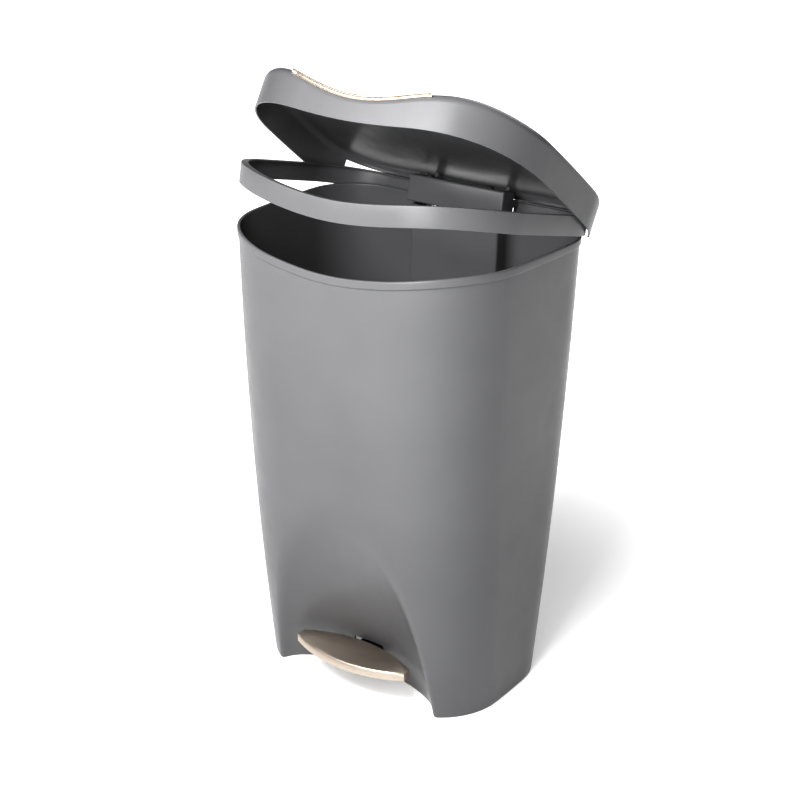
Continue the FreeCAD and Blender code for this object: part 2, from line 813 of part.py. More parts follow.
def pedal_screw_pockets(body, middle, forward, length):
    """The holes of the pedal screws, on both sides of a middle line."""
    for sign in (-1, 1):
        hole = new_sketch(body, "XY_Plane", "PedalScrewHole")
        draw_circle(hole, middle + size("pedal_screw_across") * sign, forward, size("screw_radius"))
        pocket(body, hole, length)


# --- pedal and lever -----------------------------------------------------------------------------


def pedal_plate():
    """The lens-shaped foot plate with a chamfered top edge."""
    body = doc.addObject("PartDesign::Body", "pedal_plate")
    sketch = new_sketch(body, "XY_Plane", "PlateOutline")
    half = size("pedal_half_width")
    tip = size("pedal_tip_half")
    sagitta = size("pedal_half_depth") - tip
    radius = (half * half + sagitta * sagitta) / (sagitta * 2)
    depth = float(size("pedal_half_depth"))
    front_middle = Vector(0, -depth, 0)
    back_middle = Vector(0, depth, 0)
    corners = [(-half, -tip), (half, -tip), (half, tip), (-half, tip)]
    points = [Vector(float(x), float(y), 0) for x, y in corners]
    sketch.addGeometry(Part.Arc(points[0], front_middle, points[1]), False)
    sketch.addGeometry(Part.LineSegment(points[1], points[2]), False)
    sketch.addGeometry(Part.Arc(points[2], back_middle, points[3]), False)
    sketch.addGeometry(Part.LineSegment(points[3], points[0]), False)
    sketch.addConstraint(Sketcher.Constraint("Coincident", 0, 2, 1, 1))
    sketch.addConstraint(Sketcher.Constraint("Coincident", 1, 2, 2, 1))
    sketch.addConstraint(Sketcher.Constraint("Coincident", 2, 2, 3, 1))
    sketch.addConstraint(Sketcher.Constraint("Coincident", 3, 2, 0, 1))
    pin_point(sketch, 1, 1, *corners[1])
    pin_point(sketch, 1, 2, *corners[2])
    pin_point(sketch, 3, 1, *corners[3])
    pin_point(sketch, 3, 2, *corners[0])
    for arc in (0, 2):
        index = sketch.addConstraint(Sketcher.Constraint("Radius", arc, float(radius)))
        sketch.setExpression("Constraints[%d]" % index, radius.text)
    plate = pad(body, sketch, size("pedal_thickness"))
    top = mm("pedal_thickness")
    names = []
    for index, edge in enumerate(plate.Shape.Edges, start=1):
        if abs(edge.BoundBox.ZMin - top) < 1e-4:
            names.append("Edge%d" % index)
    chamfer = body.newObject("PartDesign::Chamfer", "TopChamfer")
    chamfer.Base = (plate, names)
    bind(chamfer, Size=size("pedal_chamfer"))
    doc.recompute()
    reach = size("pivot_height") - size("lever_thickness") / 2 + size("pedal_screw_length")
    pedal_screw_pockets(body, ZERO, ZERO, reach - size("pedal_underside"))
    place(body, ZERO, -size("pedal_forward"), size("pedal_underside"))
    keep(body, "pedal_plate")


def pedal_lever():
    """The lever from the pedal, through the recess wall and the pivot, to the foot of the rod."""
    body = doc.addObject("PartDesign::Body", "pedal_lever")
    half_thick = size("lever_thickness") / 2
    top = size("pivot_height") + half_thick
    bottom = size("pivot_height") - half_thick
    pad_top = size("pedal_underside")
    front = -size("lever_front")
    pad_back = -size("lever_pad_back")
    back = size("lever_back")
    sketch = new_sketch(body, "YZ_Plane", "LeverSide")
    corners = [(front, bottom), (back, bottom), (back, top), (pad_back, top)]
    draw_outline(sketch, corners + [(pad_back, pad_top), (front, pad_top)])
    width = size("lever_half_width") * 2
    pad(body, sketch, width)
    boss = new_sketch(body, "YZ_Plane", "PivotBoss")
    draw_circle(boss, size("pivot_setback"), size("pivot_height"), size("pivot_boss_radius"))
    pad(body, boss, width)
    bore = new_sketch(body, "YZ_Plane", "PivotBore")
    bore_radius = size("axle_radius") + size("running_gap")
    draw_circle(bore, size("pivot_setback"), size("pivot_height"), bore_radius)
    pocket(body, bore, width)
    through = size("pedal_underside") + 1.0
    pedal_screw_pockets(body, size("lever_half_width"), -size("pedal_forward"), through)
    place(body, -size("lever_half_width"), ZERO, ZERO)
    keep(body, "pedal_lever")


def pivot_axle():
    """The steel axle that the lever turns on."""
    half = size("bracket_inner") + size("bracket_thickness") + 3.0
    item = doc.addObject("Part::Cylinder", "pivot_axle")
    bind(item, Radius=size("axle_radius"), Height=half * 2)
    item.Placement = Placement(Vector(), ALONG_X)
    place(item, -half, size("pivot_setback"), size("pivot_height"))
    keep(item, "pivot_axle")


def pivot_bracket(side, sign):
    """A bracket under the floor that carries one end of the axle."""
    inner = size("bracket_inner")
    thick = size("bracket_thickness")
    outer = inner + thick
    plate_x = inner if sign > 0 else -outer
    flange_x = inner if sign > 0 else -(inner + size("bracket_flange"))
    underside = size("floor_height") - size("floor_thickness")
    bottom = size("pivot_height") - size("bracket_foot_drop")
    start = size("pivot_setback") - size("bracket_half_length")
    plate = doc.addObject("Part::Box", "BracketPlate_" + side)
    bind(plate, Length=thick, Width=size("bracket_half_length") * 2, Height=underside - bottom)
    place(plate, plate_x, start, bottom)
    flange = doc.addObject("Part::Box", "BracketFlange_" + side)
    bind(flange, Length=size("bracket_flange"), Width=size("bracket_half_length") * 2, Height=thick)
    place(flange, flange_x, start, underside - thick)
    joined = doc.addObject("Part::Fuse", "BracketSolid_" + side)
    joined.Base = plate
    joined.Tool = flange
    bore = doc.addObject("Part::Cylinder", "BracketBore_" + side)
    bind(bore, Radius=size("axle_radius") + size("running_gap"), Height=thick * 3)
    bore.Placement = Placement(Vector(), ALONG_X)
    place(bore, plate_x - thick, size("pivot_setback"), size("pivot_height"))
    holes = [bore]
    across = size("bracket_screw_across") * sign
    for turn in (-1, 1):
        station = size("pivot_setback") + size("bracket_screw_spread") * turn
        hole = doc.addObject("Part::Cylinder", "BracketHole_" + side)
        bind(hole, Radius=size("screw_radius"), Height=thick * 3)
        place(hole, across, station, underside - thick * 2)
        holes.append(hole)
    tools = doc.addObject("Part::MultiFuse", "BracketTools_" + side)
    tools.Shapes = holes
    item = doc.addObject("Part::Cut", "pivot_bracket_" + side)
    item.Base = joined
    item.Tool = tools
    keep(item, "pivot_bracket_" + side)


pedal_plate()
pedal_lever()
pivot_axle()
for side, sign in (("left", -1), ("right", 1)):
    pivot_bracket(side, sign)


def axle_clips():
    """The push-on clips that keep the axle in its brackets."""
    start = mm("bracket_inner") + mm("bracket_thickness") + 0.3
    y = mm("pivot_setback")
    z = mm("pivot_height")
    rings = []
    for x_low in (start, -start - mm("clip_thickness")):
        disc = rod_across(mm("clip_radius"), x_low, x_low + mm("clip_thickness"), y, z)
        hole = rod_across(mm("axle_radius"), x_low - 1, x_low + 4, y, z)
        rings.append(disc.cut(hole))
    feature("axle_clips", Part.Compound(rings))


axle_clips()


# --- push rod and guides -------------------------------------------------------------------------

rod_foot_height = mm("pivot_height") + mm("lever_thickness") / 2 + mm("rod_end_gap")
rod_head_top = mm("hinge_height") - mm("crank_bar_radius") - mm("rod_end_gap")
ROD_RUN = mm("rod_top_setback") - mm("rod_bottom_setback")
ROD_TILT = math.degrees(math.atan2(ROD_RUN, rod_head_top - rod_foot_height))
ROD_LENGTH = (rod_head_top - rod_foot_height) / math.cos(math.radians(ROD_TILT))
ROD_LEAN = Rotation(Vector(1, 0, 0), -ROD_TILT)
ROD_END_RISE = mm("rod_radius") * math.sin(math.radians(ROD_TILT))
ROD_FOOT = Vector(0, mm("rod_bottom_setback"), rod_foot_height + ROD_END_RISE)


def push_rod():
    """The round rod in the channel with a flat head under the crank bar."""
    length = ROD_LENGTH - 2 * ROD_END_RISE
    head_half = mm("rod_head_half_width")
    depth = mm("rod_head_depth")
    shank = Part.makeCylinder(mm("rod_radius"), length)
    head = box(-head_half, head_half, -depth / 2, depth / 2, length - mm("rod_head_height"), length)
    feature("push_rod", shank.fuse(head).removeSplitter(), Placement(ROD_FOOT, ROD_LEAN))


def rod_guide(name, height):
    """A block on the channel cover that guides the rod."""
    half = mm("guide_half_width")
    tall = mm("guide_height")
    part_way = (height - rod_foot_height) / (rod_head_top - rod_foot_height)
    rod_y = mm("rod_bottom_setback") + ROD_RUN * part_way
    block = box(-half, half, rod_y - mm("guide_nose"), FAR, height, height + tall)
    block = block.common(body_block(-mm("body_wall"), 1.0))
    bore = Part.makeCylinder(mm("rod_radius") + mm("running_gap"), ROD_LENGTH)
    bore.Placement = Placement(ROD_FOOT, ROD_LEAN)
    drilled = screw_holes(block.cut(bore), guide_screw_seats(), BACK_TO_FRONT, mm("guide_screw_length"))
    feature(name, drilled)


push_rod()
rod_guide("rod_guide_lower", mm("lower_guide_height"))
rod_guide("rod_guide_upper", mm("upper_guide_height"))


# --- feet and screws -----------------------------------------------------------------------------

for name, x, y in foot_places():
    foot = doc.addObject("Part::Cylinder", name)
    bind(foot, Radius=size("foot_radius"), Height=size("foot_thickness"))
    foot.Placement = Placement(Vector(x, y, 0), Rotation())
    keep(foot, name)


def screw_group(label, seats, direction, length):
    """A set of like screws, one on each seat."""
    feature(label, Part.Compound([screw(seat, direction, length) for seat in seats]))


screw_group("bracket_screws", bracket_screw_seats(), UPWARD, mm("bracket_screw_length"))
screw_group("pedal_screws", pedal_screw_seats(), UPWARD, mm("pedal_screw_length"))
screw_group("guide_screws", guide_screw_seats(), BACK_TO_FRONT, mm("guide_screw_length"))
doc.recompute()


def check(item):
    """Stops the build when an object failed or has no valid shape."""
    if "Invalid" in item.State or "Error" in item.State:
        raise RuntimeError("%s did not compute" % item.Label)
    if item.Shape.isNull() or not item.Shape.isValid():
        raise RuntimeError("%s has no valid shape" % item.Label)


for item in pieces:
    check(item)
    print("%-22s solids %d volume %.0f" % (item.Label, len(item.Shape.Solids), item.Shape.Volume))

os.makedirs("parts", exist_ok=True)
for item in pieces:
    item.Shape.exportStep("parts/%s.step" % item.Label)
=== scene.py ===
"""Looks of the pedal bin: smooth moulded shells, metal fittings, finishes, studio and camera."""

import logging
import math
from dataclasses import dataclass, field
from typing import Iterable, Sequence

import bmesh
import bpy
import numpy as np
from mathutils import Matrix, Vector


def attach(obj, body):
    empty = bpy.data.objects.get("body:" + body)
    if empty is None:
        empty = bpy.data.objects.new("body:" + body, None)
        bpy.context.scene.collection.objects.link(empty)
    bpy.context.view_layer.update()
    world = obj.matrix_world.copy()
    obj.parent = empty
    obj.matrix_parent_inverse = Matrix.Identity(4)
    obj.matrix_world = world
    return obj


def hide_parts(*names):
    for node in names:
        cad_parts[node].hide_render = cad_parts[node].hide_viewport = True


Piece, Material, Tree = bpy.types.Object, bpy.types.Material, bpy.types.NodeTree
Socket, Array = bpy.types.NodeSocket, np.ndarray

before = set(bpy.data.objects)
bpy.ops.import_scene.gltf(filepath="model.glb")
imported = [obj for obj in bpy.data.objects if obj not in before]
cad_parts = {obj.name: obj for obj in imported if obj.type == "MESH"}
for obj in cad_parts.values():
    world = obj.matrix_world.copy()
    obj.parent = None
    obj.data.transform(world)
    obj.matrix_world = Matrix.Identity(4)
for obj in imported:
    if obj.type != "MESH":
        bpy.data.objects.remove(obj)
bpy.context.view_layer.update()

log = logging.getLogger("pedal_bin")
logging.basicConfig(level=logging.INFO, format="%(name)s: %(message)s")

MM = 0.001
HINGE_Y = 150.6
HINGE_Z = 590.7
LID_ANGLE = 33.3
RING_ANGLE = 13.2
MIRROR = np.array([-1.0, 1.0])
POST_SIDES = 48


# --- plan outline and height rules ---------------------------------------------------------------


@dataclass(frozen=True)
class Outline:
    """The plan outline of the bin, which tapers from the rim to the base. Millimetres."""

    rim_height: float = 610.0
    rim_half_width: float = 195.3
    rim_half_depth: float = 158.6
    base_half_width: float = 177.0
    base_front: float = 117.4
    base_back: float = 111.1
    side_roundness: float = 0.36
    front_roundness: float = 0.84
    back_roundness: float = 0.56
    front_bow: float = 1030.0
    side_bow: float = 1617.0
    widest: float = 85.7
    rim_corner: float = 124.0
    base_corner: float = 93.0
    back_corner: float = 72.0
    samples: int = 60

    def taper(self, rim: float, base: float, roundness: float, height: float) -> float:
        """A size at a height, between its values at the rim and at the base."""
        depth = 1.0 - height / self.rim_height
        return rim + (base - rim) * (depth * (1.0 - roundness) + depth * depth * roundness)

    def back(self, height: float) -> float:
        """How far the outer back wall stands behind the middle."""
        return self.taper(self.rim_half_depth, self.base_back, self.back_roundness, height)

    def half(self, height: float, offset: float = 0.0) -> tuple[Array, Array]:
        """Samples the right half of the outline, from the front middle to the back middle."""
        half_width = self.taper(self.rim_half_width, self.base_half_width, self.side_roundness, height)
        front = self.taper(self.rim_half_depth, self.base_front, self.front_roundness, height) + offset
        back = self.back(height) + offset
        bow = self.front_bow + offset
        side = self.side_bow + offset
        corner = self.taper(self.rim_corner, self.base_corner, 0.0, height) + offset
        rear = self.back_corner + offset
        bow_centre = np.array([0.0, bow - front])
        side_centre = np.array([half_width + offset - side, self.widest])
        corner_centre = circle_crossing(bow_centre, bow - corner, side_centre, side - corner)
        rear_y = back - rear
        rear_x = side_centre[0] + math.sqrt((side - rear) ** 2 - (rear_y - side_centre[1]) ** 2)
        rear_centre = np.array([rear_x, rear_y])
        to_corner = heading(corner_centre - bow_centre)
        to_side = heading(corner_centre - side_centre)
        to_rear = heading(rear_centre - side_centre)
        points, normals = [], []
        arcs = (
            (bow_centre, bow, -math.pi / 2, to_corner),
            (corner_centre, corner, to_corner, to_side),
            (side_centre, side, to_side, to_rear),
            (rear_centre, rear, to_rear, math.pi / 2),
        )
        for centre, radius, start, end in arcs:
            angles = np.linspace(start, end, self.samples)[:-1]
            direction = np.stack([np.cos(angles), np.sin(angles)], axis=1)
            points.append(centre + direction * radius)
            normals.append(direction)
        line_x = np.linspace(rear_x, 0.0, self.samples)
        points.append(np.stack([line_x, np.full_like(line_x, back)], axis=1))
        normals.append(np.tile([0.0, 1.0], (self.samples, 1)))
        return np.concatenate(points), np.concatenate(normals)


def circle_crossing(
    first: Array, first_radius: float, second: Array, second_radius: float
) -> Array:
    """The front right crossing of two circles in plan."""
    span = second - first
    distance = float(np.hypot(*span))
    along = (first_radius**2 - second_radius**2 + distance**2) / (2.0 * distance)
    across = math.sqrt(first_radius**2 - along**2)
    middle = first + span * (along / distance)
    normal = np.array([-span[1], span[0]]) / distance
    return max((middle + normal * across, middle - normal * across), key=lambda p: p[0] - p[1])


def heading(vector: Array) -> float:
    """The angle of a plan vector, in radians."""
    return math.atan2(vector[1], vector[0])


def quarter(side: float, front: float, radius: float) -> list[tuple[float, float]]:
    """Samples the rounded corner in plan between a side line and a front line."""
    return [
        (side - radius + radius * math.cos(a), front + radius - radius * math.sin(a))
        for a in np.linspace(0.0, math.pi / 2, 6)
    ]


def lengths(points: Array) -> Array:
    """Distance along a polyline at each of its points."""
    steps = np.hypot(*np.diff(points, axis=0).T)
    return np.concatenate([[0.0], np.cumsum(steps)])


def along(points: Array, positions: Array, where: Array) -> Array:
    """Reads rows of an array at distances along a polyline."""
    return np.stack([np.interp(where, positions, points[:, i]) for i in range(points.shape[1])], axis=1)


@dataclass(frozen=True)
class DippedSurface:
    """A ruled surface between a front line with a round dip and a back line with a crown."""

    front: float
    back: float
    dip: float
    dip_half_width: float
    crown: float = 0.0
    reach: float = 200.0
    span: float = 240.0

    def height(self, x: Array, y: Array) -> Array:
        """The surface's height over plan points."""
        inside = np.abs(x) < self.dip_half_width
        hollow = np.where(inside, self.dip * (1.0 + np.cos(np.pi * x / self.dip_half_width)) / 2.0, 0.0)
        front = self.front - hollow
        back = self.back + self.crown * (1.0 - (x / self.span) ** 2)
        share = (y + self.reach) / (2.0 * self.reach)
        return front + (back - front) * share


OUTLINE = Outline()
RIM = DippedSurface(624.6, 603.1, 22.4, 205.0)
LID_EDGE = DippedSurface(619.8, 583.2, 17.8, 205.0)
LID_TOP = DippedSurface(664.3, 628.4, 32.3, 160.0, crown=10.0)


def both_sides(right: Array) -> Array:
    """Joins a right half to its mirror image, left end first."""
    return np.concatenate([right[::-1] * MIRROR, right[1:]])


def swing(points: Array, degrees: float) -> Array:
    """Turns closed-pose points about the hinge line, front end up."""
    angle = math.radians(degrees)
    y = points[..., 1] - HINGE_Y
    z = points[..., 2] - HINGE_Z
    turned = points.copy()
    turned[..., 1] = HINGE_Y + y * math.cos(angle) + z * math.sin(angle)
    turned[..., 2] = HINGE_Z - y * math.sin(angle) + z * math.cos(angle)
    return turned


# --- mesh helpers --------------------------------------------------------------------------------


def linked(name: str, data: bpy.types.ID) -> Piece:
    """A new object on some data, linked to the scene."""
    made = bpy.data.objects.new(name, data)
    bpy.context.scene.collection.objects.link(made)
    return made


@dataclass
class MeshParts:
    """Points and faces gathered before they become one mesh. Millimetres."""

    points: list[Array] = field(default_factory=list)
    faces: list[tuple[int, ...]] = field(default_factory=list)
    count: int = 0

    def add_points(self, points: Array) -> int:
        """Adds points and returns the index of the first one."""
        first = self.count
        flat = np.asarray(points, float).reshape(-1, 3)
        self.points.append(flat)
        self.count += len(flat)
        return first

    def add_sheet(self, grid: Array, wrap: bool = False) -> int:
        """Adds a grid of points as quads."""
        rows, columns = grid.shape[:2]
        first = self.add_points(grid)
        for row in range(rows - 1):
            for column in range(columns if wrap else columns - 1):
                after = (column + 1) % columns
                self.faces.append((
                    first + row * columns + column,
                    first + row * columns + after,
                    first + (row + 1) * columns + after,
                    first + (row + 1) * columns + column,
                ))
        return first

    def add_loop_solid(self, sections: Array, closed: bool = False) -> None:
        """Adds a solid swept through closed sections, with flat ends unless it closes on itself."""
        count, corners = sections.shape[:2]
        grid = sections if not closed else np.concatenate([sections, sections[:1]])
        first = self.add_sheet(grid, wrap=True)
        if not closed:
            self.faces.append(tuple(first + i for i in reversed(range(corners))))
            last = first + (count - 1) * corners
            self.faces.append(tuple(last + i for i in range(corners)))

    def add_prism(self, outline: Array, low: float, high: float) -> None:
        """Adds an upright solid over a plan outline that runs anticlockwise."""
        sections = np.stack([np.column_stack([outline, np.full(len(outline), z)]) for z in (low, high)])
        self.add_loop_solid(sections)

    def add_shell(self, outer: Array, inner: Array, kept: Array) -> None:
        """Adds a wall between two grids that close on themselves, with its openings edged."""
        rows, columns = outer.shape[:2]
        outer_first = self.add_points(outer)
        inner_first = self.add_points(inner)

        def corner(first: int, row: int, column: int) -> int:
            return first + row * columns + column % columns

        def present(row: int, column: int) -> bool:
            return 0 <= row < rows - 1 and bool(kept[row, column % columns])

        for row in range(rows - 1):
            for column in range(columns):
                if not kept[row, column]:
                    continue
                ring = [(row, column), (row, column + 1), (row + 1, column + 1), (row + 1, column)]
                self.faces.append(tuple(corner(outer_first, *at) for at in ring))
                self.faces.append(tuple(corner(inner_first, *at) for at in reversed(ring)))
                beside = [(row - 1, column), (row, column + 1), (row + 1, column), (row, column - 1)]
                for side, neighbour in enumerate(beside):
                    if present(*neighbour):
                        continue
                    start, end = ring[side], ring[(side + 1) % 4]
                    self.faces.append((
                        corner(outer_first, *end),
                        corner(outer_first, *start),
                        corner(inner_first, *start),
                        corner(inner_first, *end),
                    ))

    def piece(self, name: str, merge: float = 0.0, recalculate: bool = False) -> Piece:
        """Makes the object, with smooth shading."""
        mesh = bpy.data.meshes.new(name)
        mesh.from_pydata((np.concatenate(self.points) * MM).tolist(), [], self.faces)
        work = bmesh.new()
        work.from_mesh(mesh)
        if merge > 0.0:
            bmesh.ops.remove_doubles(work, verts=work.verts, dist=merge * MM)
        loose = [vert for vert in work.verts if not vert.link_faces]
        bmesh.ops.delete(work, geom=loose, context="VERTS")
        if recalculate:
            bmesh.ops.recalc_face_normals(work, faces=work.faces)
        work.to_mesh(mesh)
        work.free()
        mesh.shade_smooth()
        return linked(name, mesh)


def crisp(piece: Piece, degrees: float = 35.0) -> Piece:
    """Keeps edges sharper than an angle crisp in the shading."""
    piece.data.set_sharp_from_angle(angle=math.radians(degrees))
    return piece


def soften(piece: Piece, width: float, segments: int = 3, degrees: float = 40.0) -> Piece:
    """Rounds a piece's sharp edges."""
    bevel = piece.modifiers.new("Round", "BEVEL")
    bevel.width = width * MM
    bevel.segments = segments
    bevel.limit_method = "ANGLE"
    bevel.angle_limit = math.radians(degrees)
    bevel.harden_normals = True
    return bake(piece)


def bake(piece: Piece) -> Piece:
    """Replaces a piece's mesh by what its modifiers make, and removes them."""
    bpy.context.view_layer.update()
    graph = bpy.context.evaluated_depsgraph_get()
    mesh = bpy.data.meshes.new_from_object(piece.evaluated_get(graph), depsgraph=graph)
    piece.modifiers.clear()
    old = piece.data
    piece.data = mesh
    bpy.data.meshes.remove(old)
    mesh.name = piece.name
    return piece


# --- finishes ------------------------------------------------------------------------------------


@dataclass(frozen=True)
class MouldedPlastic:
    """Satin moulded plastic with a fine spark-eroded grain and a faint mottle."""

    name: str
    tone: tuple[float, float, float]
    roughness: float = 0.36
    mottle: float = 0.05
    grain_scale: float = 2600.0
    grain_depth: float = 0.00002
    sheen: float = 0.33

    def make(self) -> Material:
        """Builds the material."""
        material, tree, shader, place = blank_material(self.name)
        cloud = noise(tree, place, scale=7.0, detail=3.0)
        dark = tuple(c * (1.0 - self.mottle) for c in self.tone)
        light = tuple(c * (1.0 + self.mottle) for c in self.tone)
        colour = ramp(tree, cloud.outputs["Fac"], ((0.3, dark), (0.7, light)))
        tree.links.new(colour.outputs["Color"], shader.inputs["Base Color"])
        grain = noise(tree, place, scale=self.grain_scale, detail=2.0)
        wear = noise(tree, place, scale=35.0, detail=4.0)
        rough = span(tree, wear.outputs["Fac"], self.roughness - 0.03, self.roughness + 0.04)
        tree.links.new(rough.outputs["Result"], shader.inputs["Roughness"])
        bump(tree, grain.outputs["Fac"], shader, strength=0.35, distance=self.grain_depth)
        shader.inputs["IOR"].default_value = 1.49
        shader.inputs["Specular IOR Level"].default_value = self.sheen
        return material


@dataclass(frozen=True)
class BrushedMetal:
    """Metal with a fine brush grain along X."""

    name: str
    tone: tuple[float, float, float]
    roughness: float = 0.34
    grain_scale: float = 900.0
    stretch: float = 40.0
    depth: float = 0.00001

    def make(self) -> Material:
        """Builds the material."""
        material, tree, shader, place = blank_material(self.name)
        shader.inputs["Metallic"].default_value = 1.0
        mapping = tree.nodes.new("ShaderNodeMapping")
        mapping.inputs["Scale"].default_value = (1.0 / self.stretch, 1.0, 1.0)
        tree.links.new(place, mapping.inputs["Vector"])
        lines = noise(tree, mapping.outputs["Vector"], scale=self.grain_scale, detail=3.0)
        dark = tuple(c * 0.93 for c in self.tone)
        light = tuple(min(1.0, c * 1.05) for c in self.tone)
        colour = ramp(tree, lines.outputs["Fac"], ((0.3, dark), (0.7, light)))
        tree.links.new(colour.outputs["Color"], shader.inputs["Base Color"])
        rough = span(tree, lines.outputs["Fac"], self.roughness - 0.05, self.roughness + 0.06)
        tree.links.new(rough.outputs["Result"], shader.inputs["Roughness"])
        bump(tree, lines.outputs["Fac"], shader, strength=0.12, distance=self.depth)
        return material


@dataclass(frozen=True)
class SoftRubber:
    """Matt black rubber with a dusty bloom."""

    name: str
    tone: tuple[float, float, float]

    def make(self) -> Material:
        """Builds the material."""
        material, tree, shader, place = blank_material(self.name)
        bloom = noise(tree, place, scale=90.0, detail=5.0)
        dusty = tuple(c * 1.7 for c in self.tone)
        colour = ramp(tree, bloom.outputs["Fac"], ((0.35, self.tone), (0.75, dusty)))
        tree.links.new(colour.outputs["Color"], shader.inputs["Base Color"])
        rough = span(tree, bloom.outputs["Fac"], 0.7, 0.9)
        tree.links.new(rough.outputs["Result"], shader.inputs["Roughness"])
        bump(tree, bloom.outputs["Fac"], shader, strength=0.3, distance=0.00005)
        return material


def blank_material(
    name: str,
) -> tuple[Material, Tree, bpy.types.ShaderNode, Socket]:
    """A new material with its node tree, its shader and its object coordinates."""
    material = bpy.data.materials.new(name)
    material.use_nodes = True
    tree = material.node_tree
    place = tree.nodes.new("ShaderNodeTexCoord").outputs["Object"]
    return material, tree, tree.nodes["Principled BSDF"], place


def noise(
    tree: Tree, place: Socket, scale: float, detail: float
) -> bpy.types.Node:
    """A noise texture on the given coordinates."""
    node = tree.nodes.new("ShaderNodeTexNoise")
    node.inputs["Scale"].default_value = scale
    node.inputs["Detail"].default_value = detail
    tree.links.new(place, node.inputs["Vector"])
    return node


def ramp(tree: Tree, factor: Socket, stops: Sequence) -> bpy.types.Node:
    """A colour ramp with the given positions and colours."""
    node = tree.nodes.new("ShaderNodeValToRGB")
    for element, (position, colour) in zip(node.color_ramp.elements, stops):
        element.position = position
        element.color = (*colour, 1.0)
    tree.links.new(factor, node.inputs["Fac"])
    return node


def span(
    tree: Tree,
    factor: Socket,
    low: float,
    high: float,
    start: float = 0.3,
    end: float = 0.7,
) -> bpy.types.Node:
    """Maps a factor between start and end to a range."""
    node = tree.nodes.new("ShaderNodeMapRange")
    node.inputs["From Min"].default_value = start
    node.inputs["From Max"].default_value = end
    node.inputs["To Min"].default_value = low
    node.inputs["To Max"].default_value = high
    tree.links.new(factor, node.inputs["Value"])
    return node


def bump(
    tree: Tree,
    height: Socket,
    shader: bpy.types.ShaderNode,
    strength: float,
    distance: float,
) -> None:
    """Lets a height texture bend the shader's normal."""
    node = tree.nodes.new("ShaderNodeBump")
    node.inputs["Strength"].default_value = strength
    node.inputs["Distance"].default_value = distance
    tree.links.new(height, node.inputs["Height"])
    tree.links.new(node.outputs["Normal"], shader.inputs["Normal"])


@dataclass
class Palette:
    """The finishes of the bin, made once."""

    body: Material
    champagne: Material
    steel: Material
    painted: Material
    guide: Material
    rubber: Material

    @classmethod
    def build(cls) -> "Palette":
        """Makes every finish."""
        return cls(
            body=MouldedPlastic("GreyPlastic", (0.094, 0.094, 0.097)).make(),
            champagne=BrushedMetal("ChampagneMetal", (0.47, 0.415, 0.36), roughness=0.5).make(),
            steel=BrushedMetal("ZincSteel", (0.62, 0.62, 0.63), roughness=0.3).make(),
            painted=MouldedPlastic("DarkPowderCoat", (0.030, 0.030, 0.032), roughness=0.55).make(),
            guide=MouldedPlastic("BlackAcetal", (0.012, 0.012, 0.013), roughness=0.35).make(),
            rubber=SoftRubber("BlackRubber", (0.020, 0.020, 0.020)).make(),
        )


def wear(piece: Piece, material: Material) -> Piece:
    """Gives a piece one material."""
    piece.data.materials.clear()
    piece.data.materials.append(material)
    return piece


def mount(piece: Piece, body: str, stands_for: Iterable[str] = ()) -> Piece:
    """Makes a piece ride on a body and hides the imported parts it stands for."""
    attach(piece, body)
    names = list(stands_for)
    if names:
        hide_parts(*names)
    return piece


def report(piece: Piece) -> None:
    """Logs a finished piece and how many faces it has."""
    log.info("%s: %d faces", piece.name, len(piece.data.polygons))


# --- CAD nodes that keep their shape --------------------------------------------------------------


@dataclass(frozen=True)
class Fittings:
    """The metal and rubber fittings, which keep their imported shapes."""

    steel: tuple[str, ...] = (
        "hinge_pin_left", "hinge_pin_right", "crank_bar", "pivot_axle", "axle_clips", "push_rod",
        "bracket_screws", "pedal_screws", "guide_screws",
    )
    painted: tuple[str, ...] = ("pedal_lever", "pivot_bracket_left", "pivot_bracket_right")
    guide: tuple[str, ...] = ("rod_guide_lower", "rod_guide_upper")
    rubber: tuple[str, ...] = (
        "lid_bumper_left", "lid_bumper_right", "foot_front_left", "foot_front_right",
        "foot_back_left", "foot_back_right",
    )
    plastic: tuple[str, ...] = ("bin_body", "channel_cover", "bag_ring", "lid_shell")
    champagne: tuple[str, ...] = ("lid_trim", "pedal_plate")

    def dress(self, palette: Palette) -> None:
        """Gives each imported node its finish."""
        groups = (
            (self.steel, palette.steel),
            (self.painted, palette.painted),
            (self.guide, palette.guide),
            (self.rubber, palette.rubber),
            (self.plastic, palette.body),
            (self.champagne, palette.champagne),
        )
        for names, material in groups:
            for name in names:
                wear(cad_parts[name], material)
                log.info("%s: packed shape, %s", name, material.name)


# --- body ----------------------------------------------------------------------------------------


@dataclass(frozen=True)
class Scoop:
    """The leaning elliptical scoop of the pedal recess."""

    half_width: float = 124.0
    half_depth: float = 60.0
    back: float = 53.0
    lean: float = 0.3275
    edge_blend: float = 7.0

    def centre(self, height: float) -> float:
        """How far forward the ellipse's centre stands, as a Y position."""
        return -self.back - self.half_depth - self.lean * height

    def distance(self, points: Array, height: float) -> tuple[Array, Array]:
        """Distance outside the ellipse in plan, and the direction away from it."""
        shifted = points - np.array([0.0, self.centre(height)])
        squares = np.array([self.half_width**2, self.half_depth**2])
        value = np.sqrt(np.maximum((shifted**2 / squares).sum(axis=1), 1e-9))
        gradient = shifted / squares / value[:, None]
        steepness = np.hypot(gradient[:, 0], gradient[:, 1])
        return (value - 1.0) / steepness, gradient / steepness[:, None]


